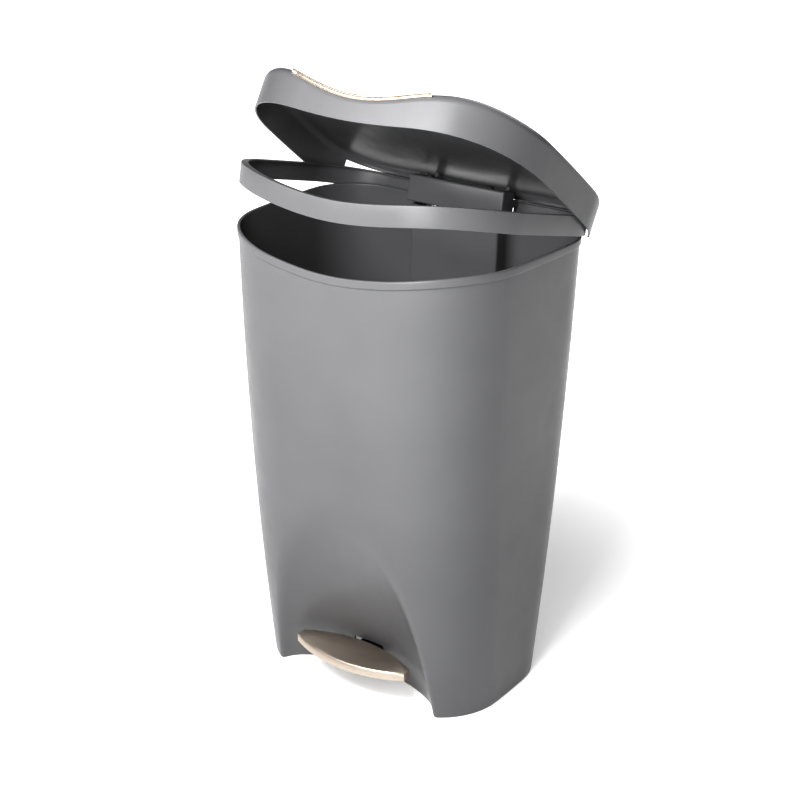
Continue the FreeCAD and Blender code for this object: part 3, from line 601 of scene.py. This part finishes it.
@dataclass
class BodyShell:
    """The tapered body: wall with recess, rim bead, rod channel and raised floor."""

    wall: float = 2.4
    bead_depth: float = 1.8
    bottom: float = 1.0
    row_step: float = 6.0
    top_constant: float = 574.0
    rim_run: float = 60.0
    behind: float = 60.0
    strip_columns: int = 26
    strip_samples: int = 24
    strip_gap: float = 16.0
    strip_growth: float = 0.1
    strip_widens: float = 270.0
    strip_crowding: float = 1.7
    arc_samples: int = 160
    side_columns: int = 58
    side_crowding: float = 1.5
    settle_steps: int = 12
    settle_reach: float = 4.0
    slot_half: float = 23.0
    slot_low: float = 22.0
    slot_high: float = 57.0
    window_half: float = 44.0
    window_low: float = 24.0
    window_high: float = 566.0
    notch_half: float = 61.0
    floor_low: float = 69.0
    floor_high: float = 72.0
    channel_half: float = 66.2
    channel_depth: float = 33.1
    channel_top: float = 600.0
    scoop: Scoop = field(default_factory=Scoop)

    back_stops: tuple[float, ...] = (66.2, 61.0, 55.0, 49.5, 44.0, 33.0, 22.0, 11.0, 0.0)

    def columns(self, height: float) -> tuple[Array, Array]:
        """Places the columns of the right half at a height."""
        outline, normals = OUTLINE.half(height)
        position = lengths(outline)
        distance, _ = self.scoop.distance(outline, height)
        inside = distance < 0.0
        crease = 0.0
        if inside[0]:
            last = int(np.argmax(~inside)) - 1
            share = distance[last] / (distance[last] - distance[last + 1])
            crease = position[last] + share * (position[last + 1] - position[last])
        apex_gap = self.strip_gap + self.strip_growth * max(0.0, height - self.strip_widens)
        strip_end = (crease**4 + apex_gap**4) ** 0.25
        path = [along(outline, position, np.linspace(crease, strip_end, self.strip_samples))]
        if crease > 0.0:
            corner = path[0][0]
            rise = (corner[1] - self.scoop.centre(height)) / self.scoop.half_depth
            angle = math.acos(min(1.0, max(-1.0, rise)))
            turns = np.linspace(0.0, angle, self.arc_samples)[:-1]
            arc = np.stack([
                self.scoop.half_width * np.sin(turns),
                self.scoop.centre(height) + self.scoop.half_depth * np.cos(turns),
            ], axis=1)
            path.insert(0, arc)
        strip = np.concatenate(path)
        strip_position = lengths(strip)
        total = strip_position[-1]
        middle_end = min(float(np.interp(self.slot_half, strip[:, 0], strip_position)), 0.35 * total)
        middle = np.linspace(0.0, middle_end, 5)[:-1]
        spread = np.linspace(1.0, 0.0, self.strip_columns) ** self.strip_crowding
        outer = total - (total - middle_end) * spread
        inner_points = along(strip, strip_position, np.concatenate([middle, outer]))
        back_end = position[-1] - self.back_stops[0]
        share = (np.arange(1, self.side_columns) / self.side_columns) ** self.side_crowding
        side = strip_end + (back_end - strip_end) * share
        stops = position[-1] - np.array(self.back_stops)
        side_points = along(outline, position, np.concatenate([side, stops]))
        return self.smooth(np.concatenate([inner_points, side_points]), outline, normals, height)

    def smooth(
        self, points: Array, outline: Array, normals: Array, height: float
    ) -> tuple[Array, Array]:
        """Moves plan points on to the outside with its recess edge rounded."""
        blend = self.scoop.edge_blend
        middle_line = points[:, 0].copy()
        points = points.copy()
        for _ in range(self.settle_steps):
            gaps = ((points[:, None, :] - outline[None, :, :]) ** 2).sum(axis=2)
            nearest = gaps.argmin(axis=1)
            wall_normal = normals[nearest]
            wall_distance = ((points - outline[nearest]) * wall_normal).sum(axis=1)
            hole_distance, hole_normal = self.scoop.distance(points, height)
            other = -hole_distance
            overlap = np.maximum(blend - np.abs(wall_distance - other), 0.0) / blend
            value = np.maximum(wall_distance, other) + overlap**2 * blend / 4.0
            wall_share = np.where(wall_distance > other, 1.0 - overlap / 2.0, overlap / 2.0)
            slope = wall_normal * wall_share[:, None] - hole_normal * (1.0 - wall_share)[:, None]
            square = (slope**2).sum(axis=1)
            step = value / np.maximum(square, 0.05)
            points = points - slope * np.clip(step, -self.settle_reach, self.settle_reach)[:, None]
        points[np.abs(middle_line) < 1e-6, 0] = 0.0
        return points, slope / np.sqrt(np.maximum(square, 1e-9))[:, None]

    def ring(self, points: Array) -> Array:
        """Mirrors a right half into a whole ring of columns."""
        return np.concatenate([points, points[1:-1][::-1] * MIRROR])

    def build_wall(self, parts: MeshParts) -> None:
        """Adds the wall, with its rim bead and openings."""
        heights = [self.bottom, self.bottom + 0.3, self.bottom + 1.2, 8.0, 15.0, 18.5]
        heights += [self.slot_low, self.window_low, 29.0]
        knots = (29.0, self.slot_high, self.window_high, self.top_constant)
        for low, high in zip(knots, knots[1:]):
            steps = max(1, round((high - low) / self.row_step))
            heights += list(np.linspace(low, high, steps + 1)[1:])
        rows, row_normals = [], []
        for height in heights:
            points, normals = self.columns(height)
            rows.append(self.ring(points))
            row_normals.append(self.ring(normals))
        bottom_inset = {0: 0.8, 1: 0.25}
        outer, inner = [], []
        for index, (height, points, normals) in enumerate(zip(heights, rows, row_normals)):
            level = np.full(len(points), height)
            outset = -bottom_inset.get(index, 0.0)
            outer.append(np.column_stack([points + normals * outset, level]))
            inner.append(np.column_stack([points - normals * (self.wall + outset * 0.5), level]))
        high_points, high_normals = self.columns(self.top_constant + self.rim_run)
        high_points, high_normals = self.ring(high_points), self.ring(high_normals)
        low_points, low_normals = rows[-1], row_normals[-1]
        rim = RIM.height(high_points[:, 0], high_points[:, 1])
        # Drop below the rim, outset of the outside and inset of the inside.
        profile = (
            (20.0, 0.0, 0.0), (14.0, 0.0, 0.0), (11.2, 0.0, 0.0), (10.4, 0.05, 0.0), (10.1, 0.5, 0.0),
            (9.9, 1.3, 0.0), (9.4, 1.72, 0.0), (8.4, self.bead_depth, 0.0),
            (5.0, self.bead_depth, 0.0), (1.6, self.bead_depth, 0.0), (0.8, 1.6, 0.1),
            (0.25, 1.1, 0.4), (0.0, 0.4, 1.0),
        )
        for drop, outset, inset in profile:
            level = rim - drop
            share = ((level - self.top_constant) / self.rim_run)[:, None]
            points = low_points * (1.0 - share) + high_points * share
            normals = low_normals * (1.0 - share) + high_normals * share
            outer.append(np.column_stack([points + normals * outset, level]))
            inner.append(np.column_stack([points - normals * (self.wall - inset), level]))
        outer_grid, inner_grid = np.stack(outer), np.stack(inner)
        parts.add_shell(outer_grid, inner_grid, self.kept_cells(outer_grid))

    def kept_cells(self, grid: Array) -> Array:
        """Marks the cells that the lever slot, the cover's window and the hinge notch leave."""
        rows, columns = grid.shape[:2]
        kept = np.ones((rows - 1, columns), bool)
        middle = (grid[:-1] + grid[1:]) / 2.0
        middle = (middle + np.roll(middle, -1, axis=1)) / 2.0
        x, y, z = np.abs(middle[..., 0]), middle[..., 1], middle[..., 2]
        behind = y > self.behind
        kept[(x < self.slot_half) & ~behind & (z > self.slot_low) & (z < self.slot_high)] = False
        kept[(x < self.window_half) & behind & (z > self.window_low) & (z < self.window_high)] = False
        kept[(x < self.notch_half) & behind & (z > self.top_constant)] = False
        return kept

    def build_channel(self, parts: MeshParts) -> None:
        """Adds the rod channel, which flares softly into the back wall."""
        outer, inner = [], []
        flare, corner, inner_corner, bite = 11.0, 3.5, 1.1, 0.4
        half = self.channel_half
        for height in np.concatenate([[self.bottom], np.linspace(40.0, self.channel_top, 24)]):
            back = OUTLINE.back(height) - self.wall
            front = OUTLINE.back(height) - self.channel_depth
            bend = [
                (half + flare - flare * math.sin(a), back + bite - flare + flare * math.cos(a))
                for a in np.linspace(0.0, math.pi / 2, 8)
            ]
            right = np.array(bend + quarter(half, front, corner))
            inside = half - self.wall
            inner_bend = [(inside, y) for y in np.linspace(back + bite, back - flare, 8)]
            inner_right = np.array(inner_bend + quarter(inside, front + self.wall, inner_corner))
            level = np.full(2 * len(right), height)
            for rows, half_row in ((outer, right), (inner, inner_right)):
                whole = np.concatenate([half_row, half_row[::-1] * MIRROR])
                rows.append(np.column_stack([whole, level]))
        outer_grid, inner_grid = np.stack(outer), np.stack(inner)
        kept = np.ones((outer_grid.shape[0] - 1, outer_grid.shape[1]), bool)
        kept[:, -1] = False
        parts.add_shell(inner_grid, outer_grid, kept)

    def build_floor(self, parts: MeshParts) -> None:
        """Adds the raised floor, which leaves the rod channel open."""
        level = (self.floor_low + self.floor_high) / 2.0
        points, normals = self.columns(level)
        inside = points - normals * (self.wall * 0.6)
        half = self.channel_half - self.wall / 2.0
        front = OUTLINE.back(level) - self.channel_depth + self.wall / 2.0
        side = inside[: -len(self.back_stops) + 1]
        right = [tuple(p) for p in side] + [(half, inside[-1][1]), (half, front)]
        left = [(-x, y) for x, y in reversed(right) if x > 1e-6]
        parts.add_prism(np.array(right + left), self.floor_low, self.floor_high)

    def build(self, palette: "Palette") -> Piece:
        """Makes the body."""
        parts = MeshParts()
        self.build_wall(parts)
        self.build_channel(parts)
        self.build_floor(parts)
        piece = crisp(parts.piece("bin_body_shell"), 50.0)
        return mount(wear(piece, palette.body), "bin", ["bin_body"])


# --- Geometry Nodes ------------------------------------------------------------------------------


@dataclass
class NodeRecipe:
    """A Geometry Nodes tree with named inputs that ends in realised, dressed geometry."""

    name: str
    tree: bpy.types.GeometryNodeTree = field(init=False)
    start: bpy.types.Node = field(init=False)
    sockets: dict[str, str] = field(default_factory=dict)

    def __post_init__(self) -> None:
        """Starts the tree with its geometry and material inputs."""
        self.tree = bpy.data.node_groups.new(self.name, "GeometryNodeTree")
        self.tree.interface.new_socket("Geometry", in_out="INPUT", socket_type="NodeSocketGeometry")
        self.tree.interface.new_socket("Geometry", in_out="OUTPUT", socket_type="NodeSocketGeometry")
        self.declare("Material", "NodeSocketMaterial")
        self.start = self.tree.nodes.new("NodeGroupInput")

    def declare(self, label: str, kind: str = "NodeSocketFloat") -> None:
        """Adds a named input."""
        socket = self.tree.interface.new_socket(label, in_out="INPUT", socket_type=kind)
        self.sockets[label] = socket.identifier

    def add(self, kind: str, mode: str = "", **links: object) -> bpy.types.Node:
        """Adds a node and joins its inputs."""
        node = self.tree.nodes.new(kind)
        if mode:
            node.mode = mode
        for label, value in links.items():
            socket = node.inputs[label.replace("_", " ")]
            if isinstance(value, Socket):
                self.tree.links.new(value, socket)
            else:
                socket.default_value = value
        return node

    def finish(self, geometry: Socket) -> None:
        """Realises the instances, sets the material and ends the tree."""
        real = self.add("GeometryNodeRealizeInstances", Geometry=geometry)
        dressed = self.add(
            "GeometryNodeSetMaterial",
            Geometry=real.outputs["Geometry"],
            Material=self.start.outputs["Material"],
        )
        end = self.tree.nodes.new("NodeGroupOutput")
        self.tree.links.new(dressed.outputs["Geometry"], end.inputs["Geometry"])

    def grow(self, seed_piece: Piece, values: dict[str, object]) -> Piece:
        """Runs the tree on a piece and keeps the result as a plain mesh."""
        modifier = seed_piece.modifiers.new(self.name, "NODES")
        modifier.node_group = self.tree
        for label, value in values.items():
            modifier[self.sockets[label]] = value
        return bake(seed_piece)


def bar_sweep() -> NodeRecipe:
    """A rounded bar swept along a path of edges, kept upright."""
    recipe = NodeRecipe("BarSweep")
    for label in ("Width", "Height", "Corner", "Across", "Up"):
        recipe.declare(label)
    value = recipe.start.outputs
    path = recipe.add("GeometryNodeMeshToCurve", Mesh=value["Geometry"])
    upright = recipe.add("GeometryNodeSetCurveNormal", mode="Z_UP", Curve=path.outputs["Curve"])
    block = recipe.add(
        "GeometryNodeCurvePrimitiveQuadrilateral", Width=value["Width"], Height=value["Height"]
    )
    round_off = recipe.add(
        "GeometryNodeFilletCurve",
        mode="POLY",
        Curve=block.outputs["Curve"],
        Radius=value["Corner"],
        Count=3,
        Limit_Radius=True,
    )
    shift = recipe.add("ShaderNodeCombineXYZ", X=value["Across"], Y=value["Up"])
    placed = recipe.add(
        "GeometryNodeTransform",
        Geometry=round_off.outputs["Curve"],
        Translation=shift.outputs["Vector"],
    )
    swept = recipe.add(
        "GeometryNodeCurveToMesh",
        Curve=upright.outputs["Curve"],
        Profile_Curve=placed.outputs["Geometry"],
        Fill_Caps=True,
    )
    recipe.finish(swept.outputs["Mesh"])
    return recipe


def post_field() -> NodeRecipe:
    """A round post with a flange at its top, repeated on points, each turned by a fixed seed."""
    recipe = NodeRecipe("PostField")
    for label in ("Radius", "Height", "Flange"):
        recipe.declare(label)
    recipe.declare("Seed", "NodeSocketInt")
    value = recipe.start.outputs
    both = recipe.tree.nodes.new("GeometryNodeJoinGeometry")
    drums = (
        (value["Radius"], value["Height"], "MULTIPLY", 0.5),
        (value["Flange"], 2.4 * MM, "SUBTRACT", 3.4 * MM),
    )
    for radius, depth, operation, operand in drums:
        drum = recipe.add("GeometryNodeMeshCylinder", Vertices=POST_SIDES, Radius=radius, Depth=depth)
        middle = recipe.add("ShaderNodeMath", Value=value["Height"])
        middle.operation = operation
        middle.inputs[1].default_value = operand
        lift = recipe.add("ShaderNodeCombineXYZ", Z=middle.outputs["Value"])
        stood = recipe.add(
            "GeometryNodeTransform", Geometry=drum.outputs["Mesh"], Translation=lift.outputs["Vector"]
        )
        recipe.tree.links.new(stood.outputs["Geometry"], both.inputs["Geometry"])
    turn = recipe.add("FunctionNodeRandomValue", Seed=value["Seed"])
    turn.inputs[3].default_value = math.tau
    spin = recipe.add("ShaderNodeCombineXYZ", Z=turn.outputs[1])
    placed = recipe.add(
        "GeometryNodeInstanceOnPoints",
        Points=value["Geometry"],
        Instance=both.outputs["Geometry"],
        Rotation=spin.outputs["Vector"],
    )
    recipe.finish(placed.outputs["Instances"])
    return recipe


def seed_object(name: str, points: Array, joined: bool) -> Piece:
    """An object of bare points in millimetres, joined in a line if asked."""
    mesh = bpy.data.meshes.new(name)
    edges = [(i, i + 1) for i in range(len(points) - 1)] if joined else []
    mesh.from_pydata((np.asarray(points) * MM).tolist(), edges, [])
    return linked(name, mesh)


def block_object(name: str, low: Sequence[float], high: Sequence[float]) -> Piece:
    """A plain block between two corners in millimetres."""
    parts = MeshParts()
    (x0, y0, z0), (x1, y1, z1) = low, high
    parts.add_prism(np.array([(x0, y0), (x1, y0), (x1, y1), (x0, y1)]), z0, z1)
    return parts.piece(name, recalculate=True)


def carve(piece: Piece, tool: Piece) -> Piece:
    """Cuts a tool out of a piece and removes the tool."""
    cut = piece.modifiers.new("Cut", "BOOLEAN")
    cut.operation = "DIFFERENCE"
    cut.solver = "EXACT"
    cut.object = tool
    bake(piece)
    bpy.data.objects.remove(tool)
    return piece


def joined(name: str, pieces: Sequence[Piece], degrees: float = 0.0) -> Piece:
    """Gathers pieces in one mesh, swung about the hinge line."""
    work = bmesh.new()
    for piece in pieces:
        work.from_mesh(piece.data)
        old = piece.data
        bpy.data.objects.remove(piece)
        bpy.data.meshes.remove(old)
    bmesh.ops.recalc_face_normals(work, faces=work.faces)
    mesh = bpy.data.meshes.new(name)
    work.to_mesh(mesh)
    work.free()
    mesh.materials.clear()
    points = np.empty(len(mesh.vertices) * 3)
    mesh.vertices.foreach_get("co", points)
    turned = swing(points.reshape(-1, 3) / MM, degrees) * MM
    mesh.vertices.foreach_set("co", turned.ravel())
    mesh.update()
    mesh.shade_smooth()
    return linked(name, mesh)


# --- bag ring ------------------------------------------------------------------------------------


@dataclass
class BagRing:
    """The loop that holds the bag: a band and an inward flange swept along the rim, and a hood."""

    outer: float = 4.4
    wall: float = 1.8
    drop: float = 7.5
    rise: float = 17.5
    flange: float = 9.0
    gap_half: float = 64.0
    hood_half: float = 71.5
    hood_front: float = 119.6
    hood_back: float = 138.0
    hood_low: float = 598.0
    hood_high: float = 632.8
    shoulder_station: float = 146.0
    shoulder_height: float = 622.0
    boss_radius: float = 4.6
    web_back: float = 148.0
    hinge_room_top: float = 612.0

    def path(self) -> Array:
        """The line the band follows: the rim's outline from one end of the break to the other."""
        points, _ = OUTLINE.half(OUTLINE.rim_height, self.outer - self.wall / 2.0)
        position = lengths(points)
        bend = along(points, position, np.linspace(0.0, position[-1], 260))
        whole = both_sides(bend[: self.break_index(bend)])
        return np.column_stack([whole, RIM.height(whole[:, 0], whole[:, 1])])

    def break_index(self, bend: Array) -> int:
        """Where the right half passes the break behind the hood."""
        return int(np.argmax((bend[:, 0] < self.gap_half) & (bend[:, 1] > self.hood_back)))

    def hood(self) -> Piece:
        """The hood over the rod channel, open behind and below."""
        back = OUTLINE.rim_half_depth + self.outer - self.wall
        hood = block_object("Hood", (-self.hood_half, self.hood_front, self.hood_low),
                            (self.hood_half, back, self.hood_high))
        soften(hood, 2.6, segments=4)
        far, under, over = 300.0, 500.0, 800.0
        # Half width, front, bottom and top of the hollow, the break, the shoulder and the hinge's room.
        cuts = (
            (self.hood_half - self.wall, self.hood_front + self.wall, under, self.hood_high - self.wall),
            (self.gap_half, self.hood_back, under, over),
            (far, self.shoulder_station, self.shoulder_height, over),
            (far, self.web_back, under, self.hinge_room_top),
        )
        for half, front, low, high in cuts:
            carve(hood, block_object("Tool", (-half, front, low), (half, far, high)))
        return hood

    def bosses(self) -> Piece:
        """The two hinge bosses with the webs that carry them."""
        parts = MeshParts()
        radius = self.boss_radius
        turns = np.linspace(0.0, math.tau, 41)[:-1]
        circle = np.column_stack([HINGE_Y + radius * np.cos(turns), HINGE_Z + radius * np.sin(turns)])
        top = self.hood_low + 1.0
        web_front = HINGE_Y - radius - 3.0
        web = np.array([
            (web_front, HINGE_Z - radius / 2), (self.web_back, HINGE_Z - radius / 2),
            (self.web_back, top), (web_front, top),
        ])
        for sign in (-1.0, 1.0):
            for shape in (circle, web):
                sides = [
                    np.column_stack([np.full(len(shape), sign * x), shape])
                    for x in (self.hood_half - self.wall, self.hood_half)
                ]
                parts.add_loop_solid(np.stack(sides))
        return parts.piece("Bosses", recalculate=True)

    def build(self, palette: "Palette", sweep: NodeRecipe) -> Piece:
        """Makes the ring."""
        tall = self.rise + self.drop
        band = sweep.grow(seed_object("Band", self.path(), joined=True), {
            "Material": palette.body, "Width": self.wall * MM, "Height": tall * MM, "Corner": 0.7 * MM,
            "Across": 0.0, "Up": -(self.rise - self.drop) / 2.0 * MM,
        })
        reach = self.flange - self.wall / 2.0
        lip = sweep.grow(seed_object("Lip", self.path(), joined=True), {
            "Material": palette.body, "Width": reach * MM, "Height": self.wall * MM, "Corner": 0.7 * MM,
            "Across": -(reach / 2.0 - 0.2) * MM, "Up": -(self.rise - self.wall / 2.0 - 0.05) * MM,
        })
        piece = joined("bag_ring_loop", [band, lip, self.hood(), self.bosses()], RING_ANGLE)
        crisp(piece, 40.0)
        return mount(wear(piece, palette.body), "ring", ["bag_ring"])


# --- lid inlay -----------------------------------------------------------------------------------


@dataclass
class LidInlay:
    """The metal lens let into the lid's front edge: two bright beads with a groove between."""

    half_width: float = 98.0
    depth: float = 26.0
    tall: float = 6.0
    lid_offset: float = 8.9
    proud: float = 0.5
    stations: int = 90

    def profile(self) -> list[tuple[float, float]]:
        """Outset from the lid's front and drop from the inlay's top, down the face."""
        return [
            (-2.2, -0.45), (-0.9, -0.35), (-0.2, 0.0), (0.3, 0.5), (0.45, 1.0), (0.2, 1.5), (-1.2, 1.8),
            (-2.6, 2.1), (-2.6, 3.9), (-1.2, 4.2), (0.2, 4.5), (0.5, 4.9), (0.3, 5.5), (-0.2, 5.9),
        ]

    def build(self, palette: "Palette") -> Piece:
        """Makes the inlay."""
        outline, normals = OUTLINE.half(OUTLINE.rim_height, self.lid_offset)
        outline, normals = both_sides(outline), both_sides(normals)
        position = lengths(outline)
        middle = position[-1] / 2.0
        front = outline[len(outline) // 2, 1]
        right = slice(len(outline) // 2, len(outline) // 2 + 110)
        edge = float(np.interp(self.half_width, outline[right, 0], position[right])) - middle
        where = middle + edge * np.sin(np.linspace(-math.pi / 2, math.pi / 2, self.stations))
        points = along(outline, position, where)
        facing = along(normals, position, where)
        tip_y = points[0, 1]
        sag = (front + self.depth) - tip_y
        radius = (self.half_width**2 + sag**2) / (2.0 * sag)
        sections = []
        for (x, y), normal in zip(points, facing):
            back_y = front + self.depth - radius + math.sqrt(max(radius**2 - x**2, 0.0))
            room = max(back_y - y, 0.05)
            share = min(1.0, room / 3.0)
            rows = []
            for outset, drop in self.profile():
                at = np.array([x, y]) + normal * (outset * share if outset < 0 else outset)
                rows.append((at[0], at[1], -drop))
            base = np.array([x, back_y])
            rows.append((base[0], base[1], -self.tall))
            rows.append((base[0], base[1], self.proud - 0.1))
            section = np.array(rows)
            section[:, 2] += LID_TOP.height(section[:, 0], section[:, 1])
            sections.append(section)
        parts = MeshParts()
        parts.add_loop_solid(swing(np.stack(sections), LID_ANGLE))
        piece = crisp(parts.piece("lid_inlay", recalculate=True), 50.0)
        return mount(wear(piece, palette.champagne), "lid", ["lid_trim"])


# --- foot posts ----------------------------------------------------------------------------------


@dataclass
class FootPosts:
    """The four posts under the raised floor that carry the rubber feet."""

    places: tuple[tuple[float, float], ...] = (
        (128.0, -76.0), (-128.0, -76.0), (138.0, 72.0), (-138.0, 72.0),
    )
    low: float = 3.0
    high: float = 70.5
    radius: float = 11.0

    def build(self, palette: "Palette", field_of_posts: NodeRecipe) -> Piece:
        """Makes the posts."""
        points = np.array([(x, y, self.low) for x, y in self.places])
        piece = field_of_posts.grow(seed_object("foot_posts", points, joined=False), {
            "Material": palette.body, "Radius": self.radius * MM, "Height": (self.high - self.low) * MM,
            "Flange": (self.radius + 4.0) * MM, "Seed": 7,
        })
        piece.data.shade_smooth()
        crisp(piece, 40.0)
        return mount(wear(piece, palette.body), "bin")


# --- pedal plate ---------------------------------------------------------------------------------


@dataclass
class PedalPlate:
    """The pedal's plate with its edges rounded over."""

    edge_radius: float = 1.3
    flat_angle: float = 2.0

    def build(self, palette: "Palette") -> Piece:
        """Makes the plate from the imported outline."""
        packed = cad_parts["pedal_plate"]
        work = bmesh.new()
        work.from_mesh(packed.data)
        bmesh.ops.transform(work, matrix=packed.matrix_world, verts=work.verts)
        bmesh.ops.remove_doubles(work, verts=work.verts, dist=0.01 * MM)
        bmesh.ops.dissolve_limit(
            work, angle_limit=math.radians(self.flat_angle), verts=work.verts, edges=work.edges
        )
        mesh = bpy.data.meshes.new("pedal_tread")
        work.to_mesh(mesh)
        work.free()
        mesh.shade_smooth()
        piece = linked("pedal_tread", mesh)
        soften(piece, self.edge_radius, segments=4, degrees=50.0)
        crisp(piece, 50.0)
        return mount(wear(piece, palette.champagne), "pedal", ["pedal_plate"])


# --- studio --------------------------------------------------------------------------------------


def point(thing: Piece, place: Sequence[float], aim: Sequence[float]) -> None:
    """Stands a light or a camera at a place and turns it to a point."""
    thing.location = place
    thing.rotation_euler = (Vector(aim) - Vector(place)).to_track_quat("-Z", "Y").to_euler()


@dataclass(frozen=True)
class Softbox:
    """A square area light aimed at a point."""

    name: str
    place: tuple[float, float, float]
    aim: tuple[float, float, float]
    power: float
    size: float

    def build(self) -> None:
        """Adds the light."""
        data = bpy.data.lights.new(self.name, "AREA")
        data.energy = self.power
        data.shape = "SQUARE"
        data.size = self.size
        point(linked(self.name, data), self.place, self.aim)


@dataclass(frozen=True)
class Studio:
    """A white floor, soft lights and the camera."""

    camera_place: tuple[float, float, float] = (1.08244, -1.59635, 1.26953)
    camera_aim: tuple[float, float, float] = (-0.02350, 0.03680, 0.36232)
    lens: float = 74.43
    floor_half: float = 80.0
    near_glow: float = 0.22
    far_glow: float = 0.95
    glow_start: float = 0.30
    glow_end: float = 1.0
    world_strength: float = 0.02
    look: str = "High Contrast"
    lights: tuple[Softbox, ...] = (
        Softbox("BackLight", (0.0, 2.049, 1.95), (0.0, 0.0, 0.35), 22.0, 1.5),
        Softbox("LeftLight", (-0.3, -0.9, 1.3), (0.0, -0.1, 0.6), 13.0, 0.5),
        Softbox("RightLight", (0.2, -0.9, 1.3), (0.0, -0.1, 0.6), 15.5, 0.5),
        Softbox("LowLight", (0.4, -1.1, 0.8), (0.0, 0.0, 0.5), 7.5, 0.6),
    )

    def build(self) -> None:
        """Adds floor, world, lights and camera."""
        self.floor()
        self.world()
        for light in self.lights:
            light.build()
        data = bpy.data.cameras.new("Camera")
        data.lens = self.lens
        data.sensor_width = 36.0
        camera = linked("Camera", data)
        point(camera, self.camera_place, self.camera_aim)
        bpy.context.scene.camera = camera
        bpy.context.scene.view_settings.view_transform = "Standard"
        bpy.context.scene.view_settings.look = self.look

    def floor(self) -> None:
        """Adds the pale floor, which glows as painted light: faintly near the bin and almost white far
        off.
        """
        half = self.floor_half
        mesh = bpy.data.meshes.new("StudioFloor")
        corners = [(-half, -half, 0), (half, -half, 0), (half, half, 0), (-half, half, 0)]
        mesh.from_pydata(corners, [], [(0, 1, 2, 3)])
        floor = linked("StudioFloor", mesh)
        material, tree, shader, place = blank_material("StudioWhite")
        shader.inputs["Base Color"].default_value = (0.92, 0.92, 0.92, 1.0)
        shader.inputs["Roughness"].default_value = 0.9
        distance = tree.nodes.new("ShaderNodeVectorMath")
        distance.operation = "LENGTH"
        tree.links.new(place, distance.inputs[0])
        reach = distance.outputs["Value"]
        # Painted light: emission strength rises with distance from the middle, dim around the bin and
        # bright far away.
        glow = span(tree, reach, self.near_glow, self.far_glow, self.glow_start, self.glow_end)
        glow.interpolation_type = "SMOOTHSTEP"
        shader.inputs["Emission Color"].default_value = (1.0, 1.0, 1.0, 1.0)
        tree.links.new(glow.outputs["Result"], shader.inputs["Emission Strength"])
        wear(floor, material)

    def world(self) -> None:
        """Lights the scene evenly from a white surround."""
        world = bpy.data.worlds.new("Surround")
        world.use_nodes = True
        background = world.node_tree.nodes["Background"]
        background.inputs["Color"].default_value = (1.0, 1.0, 1.0, 1.0)
        background.inputs["Strength"].default_value = self.world_strength
        bpy.context.scene.world = world


def main() -> None:
    """Builds the bin's pieces in order, then the studio."""
    palette = Palette.build()
    Fittings().dress(palette)
    report(BodyShell().build(palette))
    report(FootPosts().build(palette, post_field()))
    report(BagRing().build(palette, bar_sweep()))
    report(LidInlay().build(palette))
    report(PedalPlate().build(palette))
    Studio().build()


if __name__ == "__main__":
    main()
